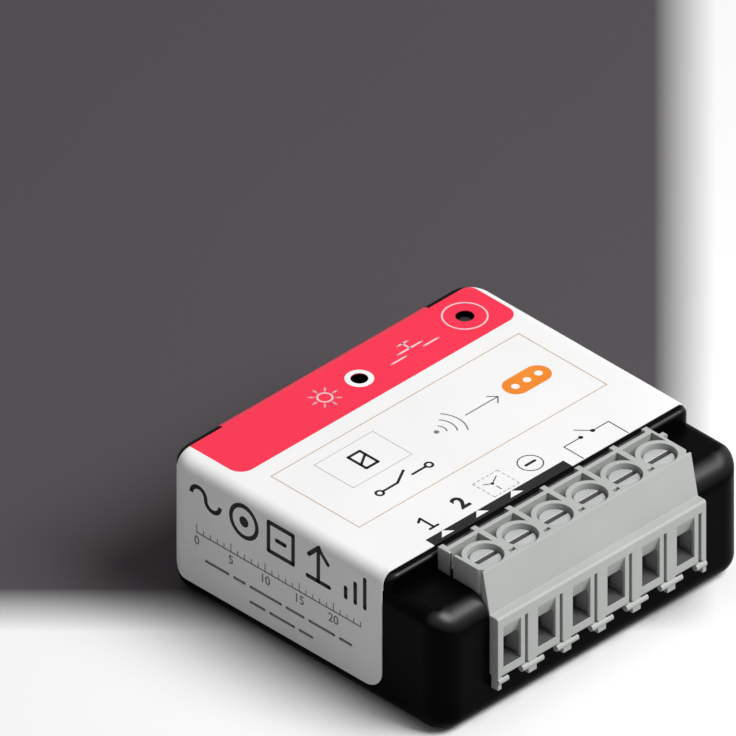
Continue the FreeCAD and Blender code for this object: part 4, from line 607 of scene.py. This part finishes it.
def band_mask(wiring, place):
    """Marks the red band: a rounded box in X and Y that runs on behind the label."""
    middle = ((BAND_LEFT + BAND_RIGHT) / 2 * MM, (BAND_FRONT + BAND_DEPTH / 2) * MM, 0)
    half = ((BAND_RIGHT - BAND_LEFT) / 2 - BAND_CORNER) * MM
    half_back = (BAND_DEPTH / 2 - BAND_CORNER) * MM
    centred = wiring.add("ShaderNodeMapping", "band centre")
    centred.inputs["Location"].default_value = tuple(-value for value in middle)
    centred.inputs["Scale"].default_value = (1, 1, 0)
    wiring.join(place, centred.inputs["Vector"])
    folded = wiring.add("ShaderNodeVectorMath", operation="ABSOLUTE")
    wiring.join(centred.outputs[0], folded.inputs[0])
    outside = wiring.add("ShaderNodeVectorMath", operation="SUBTRACT")
    wiring.join(folded.outputs[0], outside.inputs[0])
    outside.inputs[1].default_value = (half, half_back, 0)
    kept = wiring.add("ShaderNodeVectorMath", operation="MAXIMUM")
    wiring.join(outside.outputs[0], kept.inputs[0])
    reach = wiring.add("ShaderNodeVectorMath", operation="LENGTH")
    wiring.join(kept.outputs[0], reach.inputs[0])
    return spread(wiring, reach.outputs["Value"], (BAND_CORNER - BAND_BLUR) * MM,
                  (BAND_CORNER + BAND_BLUR) * MM, 1.0, 0.0)


def label_film():
    """White film with the red band, the dark strip's edge and the black margin beside the back tab."""
    material, wiring, shader = new_material("label_film")
    place = wiring.place()
    parts = wiring.parts_of(place)
    texture = place_group(wiring, GRAIN, Size=0.00025, Drift=0.012)
    edges = place_group(wiring, SOFT_EDGE, Radius=0.00006)
    white = uneven_tone(wiring, texture, (0.83, 0.83, 0.825), (0.87, 0.87, 0.868))
    red = uneven_tone(wiring, texture, (0.85, 0.014, 0.060), (0.88, 0.017, 0.067))
    coloured = blend_colour(wiring, band_mask(wiring, place), white, red)
    edged = blend_colour(wiring, strip_edge(wiring, parts), coloured, (0.010, 0.010, 0.011))
    margin = back_margin(wiring, parts)
    wiring.join(blend_colour(wiring, margin, edged, (0.002, 0.002, 0.0022)), shader.inputs["Base Color"])
    wiring.join(spread(wiring, margin, 0.0, 1.0, 0.35, 0.02), shader.inputs["Specular IOR Level"])
    uneven_roughness(wiring, shader, texture, 0.40, 0.48)
    add_bump(wiring, shader, texture.outputs["Height"], 0.12, 0.000008, edges.outputs["Normal"])
    return material


def clear_resin():
    """A smoked clear moulding with faint flow unevenness."""
    material, wiring, shader = new_material("clear_guide")
    texture = place_group(wiring, GRAIN, Size=0.0004, Drift=0.003)
    smoked = uneven_tone(wiring, texture, (0.20, 0.21, 0.22), (0.26, 0.27, 0.28))
    wiring.join(smoked, shader.inputs["Base Color"])
    uneven_roughness(wiring, shader, texture, 0.05, 0.12)
    shader.inputs["Transmission Weight"].default_value = 0.9
    shader.inputs["IOR"].default_value = 1.49
    return material


def wound_wire():
    """Enamelled wire laid in fine turns along X."""
    material, wiring, shader = new_material("copper_winding")
    place = wiring.place()
    turns = wiring.add("ShaderNodeTexWave", "turns", wave_type="BANDS", bands_direction="X",
                       wave_profile="SIN")
    turns.inputs["Scale"].default_value = 1800.0
    turns.inputs["Distortion"].default_value = 0.6
    wiring.join(place, turns.inputs["Vector"])
    wiring.join(blend_colour(wiring, turns.outputs["Fac"], (0.30, 0.08, 0.03), (0.62, 0.22, 0.08)),
                shader.inputs["Base Color"])
    wiring.join(spread(wiring, turns.outputs["Fac"], 0.0, 1.0, 0.42, 0.26), shader.inputs["Roughness"])
    add_bump(wiring, shader, turns.outputs["Fac"], 0.8, 0.00005)
    shader.inputs["Metallic"].default_value = 0.85
    return material


def solder_mask():
    """Green solder mask with copper tracks that show faintly through it."""
    material, wiring, shader = new_material("board")
    place = wiring.place()
    tracks = wiring.add("ShaderNodeTexBrick", "tracks")
    tracks.inputs["Scale"].default_value = 260.0
    tracks.inputs["Mortar Size"].default_value = 0.06
    tracks.inputs["Color1"].default_value = (0, 0, 0, 1)
    tracks.inputs["Color2"].default_value = (0, 0, 0, 1)
    tracks.inputs["Mortar"].default_value = (1, 1, 1, 1)
    wiring.join(place, tracks.inputs["Vector"])
    texture = place_group(wiring, GRAIN, Size=0.0002, Drift=0.006)
    shade = blend_colour(wiring, texture.outputs["Tone"], (0.010, 0.085, 0.035), (0.016, 0.115, 0.050))
    wiring.join(blend_colour(wiring, tracks.outputs["Color"], shade, (0.035, 0.20, 0.08)),
                shader.inputs["Base Color"])
    uneven_roughness(wiring, shader, texture, 0.28, 0.36)
    add_bump(wiring, shader, tracks.outputs["Fac"], 0.4, 0.00003)
    return material


def ink(name, dark, light):
    """Printing ink: duller than the film and hardly raised."""
    return surface(name, dark, light, roughness=0.45, specular=0.12, grain=0.0002, drift=0.004,
                   depth=0.000004, edge_radius=0.00001)


# The finish of each material slot in the record
FINISHES = {
    # Its rim coat is a painted sheen on the rims that face up and to the front.
    "case_black": surface("case_black", (0.0010, 0.0010, 0.0011), (0.0016, 0.0016, 0.0017),
                          roughness=0.30, specular=0.015, grain=0.00022, drift=0.012, depth=0.000006,
                          edge_radius=0.00015, edge_colour=(0.003, 0.003, 0.0032), painted_sheen_coat=0.6),
    "label_film": label_film(),
    # Painted shade darkens the inside of the wire mouths and the joining groove.
    "block_grey": surface("block_grey", (0.40, 0.415, 0.40), (0.43, 0.445, 0.43), roughness=0.46,
                          specular=0.4, grain=0.00025, drift=0.009, depth=0.000008, edge_radius=0.00016,
                          edge_colour=(0.48, 0.495, 0.48), shade=PAINTED_MOUTH_SHADE,
                          painted_shade_colour=(0.067, 0.067, 0.067)),
    # Painted shade darkens the slot across each screw head.
    "plated_steel": surface("plated_steel", (0.44, 0.45, 0.45), (0.51, 0.52, 0.52), roughness=0.46,
                            metallic=0.35, grain=0.0004, drift=0.003, depth=0.000005, edge_radius=0.00012,
                            edge_colour=(0.78, 0.79, 0.79), rings=True, shade=PAINTED_SLOT_SHADE,
                            painted_shade_colour=(0.19, 0.19, 0.19)),
    "cage_steel": surface("cage_steel", (0.26, 0.26, 0.256), (0.31, 0.31, 0.305), roughness=0.5,
                          metallic=0.25, grain=0.0004, drift=0.003, depth=0.000006, edge_radius=0.0001,
                          edge_colour=(0.36, 0.36, 0.355)),
    "tinned_brass": surface("tinned_brass", (0.58, 0.57, 0.52), (0.70, 0.69, 0.64), roughness=0.30,
                            metallic=1.0, grain=0.0003, drift=0.003, depth=0.000004, edge_radius=0.00008),
    "board": solder_mask(),
    "relay_plastic": surface("relay_plastic", (0.030, 0.030, 0.034), (0.042, 0.042, 0.047),
                             roughness=0.42, specular=0.4, drift=0.006, edge_colour=(0.07, 0.07, 0.075)),
    "bobbin_plastic": surface("bobbin_plastic", (0.66, 0.63, 0.54), (0.74, 0.71, 0.62), roughness=0.5,
                              drift=0.004),
    "copper_winding": wound_wire(),
    "soft_iron": surface("soft_iron", (0.40, 0.39, 0.37), (0.50, 0.49, 0.46), roughness=0.36,
                         metallic=1.0, grain=0.0003, drift=0.003, depth=0.000006,
                         edge_colour=(0.62, 0.61, 0.58)),
    "contact_metal": surface("contact_metal", (0.70, 0.50, 0.28), (0.80, 0.60, 0.36), roughness=0.28,
                             metallic=1.0, grain=0.0003, drift=0.002, depth=0.000004,
                             edge_radius=0.00005),
    "film_yellow": surface("film_yellow", (0.62, 0.36, 0.03), (0.70, 0.42, 0.04), roughness=0.44,
                           drift=0.005),
    "varistor_blue": surface("varistor_blue", (0.02, 0.08, 0.34), (0.03, 0.11, 0.42), roughness=0.38,
                             drift=0.004, grain=0.0006, depth=0.00002),
    "resistor_body": surface("resistor_body", (0.26, 0.38, 0.30), (0.34, 0.46, 0.38), roughness=0.48,
                             drift=0.003),
    "capacitor_sleeve": surface("capacitor_sleeve", (0.012, 0.018, 0.07), (0.020, 0.028, 0.09),
                                roughness=0.30, drift=0.005, coat=0.3),
    "ferrite": surface("ferrite", (0.030, 0.030, 0.033), (0.050, 0.050, 0.053), roughness=0.6,
                       grain=0.0002, drift=0.002, depth=0.00002),
    "chip_black": surface("chip_black", (0.012, 0.012, 0.013), (0.020, 0.020, 0.022), roughness=0.55,
                          grain=0.00012, drift=0.003, depth=0.00001, edge_radius=0.00006),
    "shield_steel": surface("shield_steel", (0.60, 0.60, 0.59), (0.68, 0.68, 0.67), roughness=0.32,
                            metallic=1.0, grain=0.0005, drift=0.004, edge_colour=(0.76, 0.76, 0.75)),
    "led_body": surface("led_body", (0.74, 0.74, 0.66), (0.80, 0.80, 0.74), roughness=0.25, drift=0.001,
                        edge_radius=0.00005),
    "clear_guide": clear_resin(),
    "button_black": surface("button_black", (0.010, 0.010, 0.011), (0.016, 0.016, 0.017), roughness=0.38,
                            specular=0.3, grain=0.0002, drift=0.002, edge_radius=0.00015,
                            edge_colour=(0.03, 0.03, 0.032)),
}

BLACK_INK = ink("ink_black", (0.006, 0.006, 0.007), (0.012, 0.012, 0.013))
CHARCOAL_INK = ink("ink_charcoal", (0.008, 0.008, 0.009), (0.013, 0.013, 0.014))
GREY_INK = ink("ink_grey", (0.16, 0.17, 0.18), (0.20, 0.21, 0.22))
LINE_INK = ink("ink_line_grey", (0.38, 0.38, 0.40), (0.44, 0.44, 0.46))
TAN_INK = ink("ink_tan", (0.50, 0.33, 0.19), (0.56, 0.39, 0.23))
WHITE_INK = ink("ink_white", (0.84, 0.84, 0.84), (0.88, 0.88, 0.88))
PINK_INK = ink("ink_pale", (0.80, 0.52, 0.56), (0.84, 0.58, 0.62))
ORANGE_INK = ink("ink_orange", (0.80, 0.22, 0.020), (0.84, 0.26, 0.030))

for part in frame["record"]["subparts"]:
    node = frame["nodes"][part["node"]]
    node.data.materials.clear()
    node.data.materials.append(FINISHES[part["material_slot"]])


def make_flattening_dome():
    """The snap disc under the button as a merged copy."""
    shaping = bmesh.new()
    shaping.from_mesh(frame["nodes"]["switch_dome"].data)
    bmesh.ops.remove_doubles(shaping, verts=shaping.verts, dist=MERGE_WITHIN * MM)
    bmesh.ops.scale(shaping, vec=(1 / MM, 1 / MM, 1 / MM), verts=shaping.verts)
    disc = add_piece("snap_disc", shaping, Matrix.Identity(4), FINISHES["contact_metal"])
    disc.data.shade_smooth()
    disc.data.set_sharp_from_angle(angle=SHARP_FROM)
    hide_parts("switch_dome")
    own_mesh(disc)


make_flattening_dome()


# Print on the top of the label

def print_box_outline(shaping, box, width):
    """The outline of a box (left, front, right, back)."""
    x0, y0, x1, y1 = box
    ink_line(shaping, [(x0, y0), (x1, y0), (x1, y1), (x0, y1)], width, closed=True)


def print_frame():
    """The thin tan frame in the middle of the label."""
    shaping = bmesh.new()
    print_box_outline(shaping, FRAME_BOX, FRAME_LINE)
    add_print("print_frame", shaping, ON_TOP, TAN_INK)


def print_symbol_box():
    """The thin grey box round the coil symbol."""
    shaping = bmesh.new()
    print_box_outline(shaping, SYMBOL_BOX, FINE_LINE)
    add_print("print_symbol_box", shaping, ON_TOP, LINE_INK)


def print_coil_symbol():
    """A coil: a bold box crossed by a slanted stroke."""
    shaping = bmesh.new()
    x = (SYMBOL_BOX[0] + SYMBOL_BOX[2]) / 2
    y = (SYMBOL_BOX[1] + SYMBOL_BOX[3]) / 2
    side = 0.85
    tall = 1.35
    print_box_outline(shaping, (x - side, y - tall, x + side, y + tall), width=0.36)
    ink_line(shaping, [(x - side, y - 0.55), (x + side, y + 0.55)], BOLD_LINE)
    add_print("print_coil_symbol", shaping, ON_TOP, BLACK_INK)


def print_contact_row():
    """A bold line symbol below the box: an open contact between two terminals."""
    shaping = bmesh.new()
    x0 = -12.4
    y = -0.85
    for terminal in (0.4, 7.6):
        ink_arc(shaping, x0 + terminal, y, radius=0.42, width=0.28)
    ink_line(shaping, [(x0 + 0.9, y), (x0 + 3.0, y)], BOLD_LINE)
    ink_line(shaping, [(x0 + 3.0, y), (x0 + 5.0, y + 1.15)], BOLD_LINE)
    ink_line(shaping, [(x0 + 5.2, y), (x0 + 7.1, y)], BOLD_LINE)
    add_print("print_contact_row", shaping, ON_TOP, BLACK_INK)


def print_radio_motif():
    """Thin grey arcs that open towards a plain orange pill, where a badge would sit."""
    shaping = bmesh.new()
    x = -0.1
    y = 2.75
    weight = 0.16
    tip = 8.9
    ink_dot(shaping, x, y, radius=0.3)
    for radius in (1.1, 2.2, 3.3):
        ink_arc(shaping, x, y, radius, weight, start=-38, sweep=76)
    ink_line(shaping, [(4.2, y), (tip, y)], weight)
    barb = 0.8
    ink_line(shaping, [(tip - barb, y - barb), (tip, y), (tip - barb, y + barb)], weight)
    add_print("print_radio_arcs", shaping, ON_TOP, GREY_INK)
    shaping = bmesh.new()
    left, right = (10.1, 16.2)
    half = 1.5
    ink_box(shaping, left, y - half, right, y + half, corner=half - 0.01)
    add_print("print_orange_pill", shaping, ON_TOP, ORANGE_INK)
    shaping = bmesh.new()
    for offset in (-1.7, 0.0, 1.7):
        ink_dot(shaping, (left + right) / 2 + offset, y, radius=0.45)
    add_print("print_pill_dots", shaping, ON_PRINT, WHITE_INK)


def print_strip():
    """The dark strip along the front edge, with a pale arrowhead for each of three poles."""
    shaping = bmesh.new()
    ink_box(shaping, *STRIP)
    add_print("print_strip", shaping, ON_TOP, CHARCOAL_INK)
    shaping = bmesh.new()
    height = 0.9
    for pole in range(3):
        x = FIRST_POLE + 0.5 + pole * (POLE_PITCH - 0.03)
        ink_triangle(shaping, x, STRIP[3] - height, width=1.84, height=height)
    add_print("print_arrowheads", shaping, ON_PRINT, WHITE_INK)


def print_pole_marks():
    """Plain numbers at two poles, then the switch in its box, a barred circle and the output contact."""
    shaping = bmesh.new()
    x = FIRST_POLE + 0.4
    top = MARK_LINE + 1.05
    foot = MARK_LINE - 1.05
    ink_line(shaping, [(x - 0.62, MARK_LINE + 0.62), (x, top), (x, foot)], BOLD_LINE)
    ink_line(shaping, [(x - 0.6, foot), (x + 0.6, foot)], BOLD_LINE)
    ink_figure(shaping, "2", FIRST_POLE + POLE_PITCH + 0.3, MARK_LINE, size=2.9, weight=0.09)
    x = 2.85
    half = 0.65
    ink_arc(shaping, x, MARK_LINE, radius=1.37, width=MARK_OUTLINE)
    ink_line(shaping, [(x - half, MARK_LINE), (x + half, MARK_LINE)], width=0.34)
    low = -11.35
    high = -8.5
    left_end, right_end = (9.78, 11.53)
    ink_line(shaping, [(7.32, low), (7.32, high), (left_end, high)], MARK_OUTLINE)
    ink_line(shaping, [(13.85, low), (13.85, high), (right_end, high), (10.18, -7.05)], MARK_OUTLINE)
    for x in (left_end, right_end):
        ink_dot(shaping, x, high, radius=0.27)
    x, y = (-2.55, -7.9)
    ink_line(shaping, [(-3.4, -7.4), (x, y), (-1.3, -7.2)], SWITCH_LINE)
    ink_line(shaping, [(x, -9.2), (x, high)], SWITCH_LINE)
    ink_dot(shaping, x, y, radius=0.2)
    add_print("print_pole_marks", shaping, ON_TOP, BLACK_INK)


def print_dashed_box():
    """The dashed box round the switch symbol."""
    shaping = bmesh.new()
    dash = 0.36
    x0, y0, x1, y1 = (-4.08, -9.76, -0.46, -6.55)
    across = round((x1 - x0) / (2 * dash))
    upwards = round((y1 - y0) / (2 * dash))
    for step in range(across + 1):
        x = x0 + step * (x1 - x0 - dash) / across
        ink_line(shaping, [(x, y0), (x + dash, y0)], FINE_LINE)
        ink_line(shaping, [(x, y1), (x + dash, y1)], FINE_LINE)
    for step in range(upwards + 1):
        y = y0 + step * (y1 - y0 - dash) / upwards
        ink_line(shaping, [(x0, y), (x0, y + dash)], FINE_LINE)
        ink_line(shaping, [(x1, y), (x1, y + dash)], FINE_LINE)
    add_print("print_dashed_box", shaping, ON_TOP, GREY_INK)


def print_band_marks():
    """Rings round the two holes, and a line symbol beside each: a lamp and a pressed contact."""
    shaping = bmesh.new()
    width = INDICATOR_RING - INDICATOR_HOLE
    ink_arc(shaping, *INDICATOR, INDICATOR_HOLE + width / 2 + 0.01, width)
    add_print("print_indicator_ring", shaping, ON_TOP, WHITE_INK)
    shaping = bmesh.new()
    ink_arc(shaping, *BUTTON, BUTTON_RING, width=0.2)
    x, y = (-3.9, INDICATOR[1] + 0.1)
    weight = 0.22
    ink_arc(shaping, x, y, radius=0.8, width=weight)
    spokes = 8
    for spoke in range(spokes):
        angle = 2 * math.pi * spoke / spokes
        ends = [(x + reach * math.cos(angle), y + reach * math.sin(angle)) for reach in (1.2, 1.7)]
        ink_line(shaping, ends, weight)
    x, y = (8.6, BUTTON[1] - 0.2)
    weight = 0.24
    terminals = y - 0.6
    bridge = y + 0.15
    cap = y + 1.25
    ink_line(shaping, [(x - 3.4, terminals), (x - 1.3, terminals)], weight)
    ink_line(shaping, [(x + 1.3, terminals), (x + 3.4, terminals)], weight)
    ink_line(shaping, [(x - 1.7, bridge), (x + 1.7, bridge)], weight)
    ink_line(shaping, [(x, bridge), (x, cap)], weight)
    ink_line(shaping, [(x - 0.7, cap), (x + 0.7, cap)], weight)
    add_print("print_band_marks", shaping, ON_TOP, PINK_INK)


# Print on the left side of the label. Across is measured from the middle of the case
# towards the front, and up from the bottom face.

def print_side_symbols():
    """A row of bold line symbols: a wave, a ring, a square, an arrow and rising bars."""
    shaping = bmesh.new()
    weight = 0.52
    line = 13.75
    tall = 2.1
    x = -14.3
    crest = 1.05
    ink_arc(shaping, x - crest, line, crest, weight, start=0, sweep=180)
    ink_arc(shaping, x + crest, line, crest, weight, start=180, sweep=180)
    x = -8.7
    ink_arc(shaping, x, line, tall - 0.2, weight)
    ink_dot(shaping, x, line, radius=0.65)
    x = -3.3
    side = 1.8
    print_box_outline(shaping, (x - side, line - side, x + side, line + side), weight)
    ink_line(shaping, [(x - 0.6, line), (x + 0.6, line)], weight)
    x = 2.2
    ink_line(shaping, [(x, line - tall), (x, line + tall)], weight)
    barb = 1.4
    tip = line + tall
    ink_line(shaping, [(x - barb, tip - barb), (x, tip), (x + barb, tip - barb)], weight)
    ink_line(shaping, [(x - 1.6, line - tall), (x + 1.6, line - tall)], weight)
    x = 7.6
    for bar, height in enumerate((1.2, 2.4, 3.6)):
        place = x + (bar - 1) * 1.4
        ink_line(shaping, [(place, line - tall), (place, line - tall + height)], weight)
    bend_over_edge(shaping)
    add_print("print_side_symbols", shaping, ON_LEFT_SIDE, BLACK_INK)


def print_side_scale():
    """A plain stripping gauge: a ruled line with ticks and numbers, and two rows of short rules."""
    shaping = bmesh.new()
    start = -15.6
    length = 24
    line = 9.0
    numbered = 5
    ink_line(shaping, [(start, line), (start + length, line)], width=0.16)
    for tick in range(length + 1):
        tall = 1.0 if tick % numbered == 0 else 0.55
        ink_line(shaping, [(start + tick, line), (start + tick, line + tall)], width=0.12)
    for number in range(0, length + 1, numbered):
        ink_figure(shaping, str(number), start + number, line - 1.05, size=1.5, weight=0.02)
    for row, lengths in enumerate(((3.2, 1.5, 4.4, 2.4, 3.6, 1.6), (2.0, 3.4, 1.8))):
        x = start + (1.4 if row == 0 else 7.9)
        y = 6.0 - 1.9 * row
        for run in lengths:
            ink_line(shaping, [(x, y), (x + run, y)], width=0.34)
            x += run + 0.9
    add_print("print_side_scale", shaping, ON_LEFT_SIDE, GREY_INK)


print_frame()
print_symbol_box()
print_coil_symbol()
print_contact_row()
print_radio_motif()
print_strip()
print_pole_marks()
print_dashed_box()
print_band_marks()
print_side_symbols()
print_side_scale()


# Floor, light and camera

def background_rays(wiring):
    """1 for the rays that show the background, also in metal and clear parts, and 0 for its
    bounced light."""
    ray = wiring.add("ShaderNodeLightPath")
    mirrored = wiring.maths("MAXIMUM", ray.outputs["Is Glossy Ray"], ray.outputs["Is Transmission Ray"])
    return wiring.maths("MAXIMUM", ray.outputs["Is Camera Ray"], mirrored)


def backdrop_mask(wiring):
    """Marks the part of the floor behind the object, as the camera sees it."""
    place = wiring.parts_of(wiring.place())
    back = wiring.maths("ADD", place["X"], place["Y"])
    across = wiring.maths("SUBTRACT", place["X"], place["Y"])
    behind = spread(wiring, back, *(limit * MM for limit in BACKDROP_FRONT), 0.0, 1.0)
    beside = spread(wiring, across, *(limit * MM for limit in BACKDROP_RIGHT), 1.0, 0.0)
    return wiring.product(behind, beside)


def make_floor():
    """A white floor that turns to dark grey behind the object, where the photo has its dark picture.
    Its bounced light is plain grey."""
    material, wiring, shader = new_material("floor_card")
    texture = place_group(wiring, GRAIN, Size=0.002, Drift=0.1)
    pale = blend_colour(wiring, texture.outputs["Tone"], (0.91, 0.91, 0.91), (0.94, 0.94, 0.94))
    dark = blend_colour(wiring, texture.outputs["Tone"], (0.080, 0.072, 0.079), (0.088, 0.080, 0.087))
    shown = blend_colour(wiring, backdrop_mask(wiring), pale, dark)
    plain = blend_colour(wiring, texture.outputs["Tone"], (0.50, 0.50, 0.50), (0.54, 0.54, 0.54))
    wiring.join(blend_colour(wiring, background_rays(wiring), plain, shown), shader.inputs["Base Color"])
    shader.inputs["Roughness"].default_value = 0.9
    shader.inputs["Specular IOR Level"].default_value = 0.1
    shaping = bmesh.new()
    bmesh.ops.create_grid(shaping, x_segments=1, y_segments=1, size=FLOOR_HALF)
    mesh = bpy.data.meshes.new("floor")
    shaping.to_mesh(mesh)
    shaping.free()
    mesh.materials.append(material)
    floor = bpy.data.objects.new("floor", mesh)
    bpy.context.scene.collection.objects.link(floor)


def add_softbox(name, direction, distance, size, power):
    """A square lamp that looks at the origin. Distance and size are in metres, power in watts."""
    lamp = bpy.data.lights.new(name, "AREA")
    lamp.shape = "SQUARE"
    lamp.size = size
    lamp.energy = power
    holder = bpy.data.objects.new(name, lamp)
    towards = Vector(direction).normalized()
    holder.location = towards * distance
    holder.rotation_euler = (-towards).to_track_quat("-Z", "Y").to_euler()
    bpy.context.scene.collection.objects.link(holder)


def make_light():
    """A key lamp from the front right, a faint lamp from above and a white world."""
    add_softbox("key_softbox", (0.30, -0.56, 0.82), distance=0.60, size=0.34, power=4.1)
    add_softbox("top_softbox", (-0.1, 0.35, 1.0), distance=0.70, size=0.50, power=0.5)
    world = bpy.data.worlds.new("studio")
    world.use_nodes = True
    tree = world.node_tree
    wiring = Wiring(tree)
    background = tree.nodes["Background"]
    background.inputs["Color"].default_value = (1, 1, 1, 1)
    strength = spread(wiring, background_rays(wiring), 0.0, 1.0, WORLD_LIGHT, WORLD_SHOWN)
    wiring.join(strength, background.inputs["Strength"])
    bpy.context.scene.world = world


def make_camera():
    """The photograph's view, as wide as its frame."""
    view_up = VIEW_BACK.cross(VIEW_RIGHT)
    aim = (VIEW_RIGHT * AIM_RIGHT + view_up * AIM_UP) * MM
    camera = bpy.data.cameras.new("photo_camera")
    camera.type = "ORTHO"
    camera.ortho_scale = PHOTO_PIXELS / PIXELS_PER_MM * MM
    camera.clip_start = 0.01
    camera.clip_end = 10.0
    holder = bpy.data.objects.new("photo_camera", camera)
    holder.location = aim + VIEW_BACK * CAMERA_DISTANCE
    holder.rotation_euler = (-VIEW_BACK).to_track_quat("-Z", "Y").to_euler()
    bpy.context.scene.collection.objects.link(holder)
    bpy.context.scene.camera = holder


make_floor()
make_light()
make_camera()
bpy.context.scene.view_settings.view_transform = "Standard"
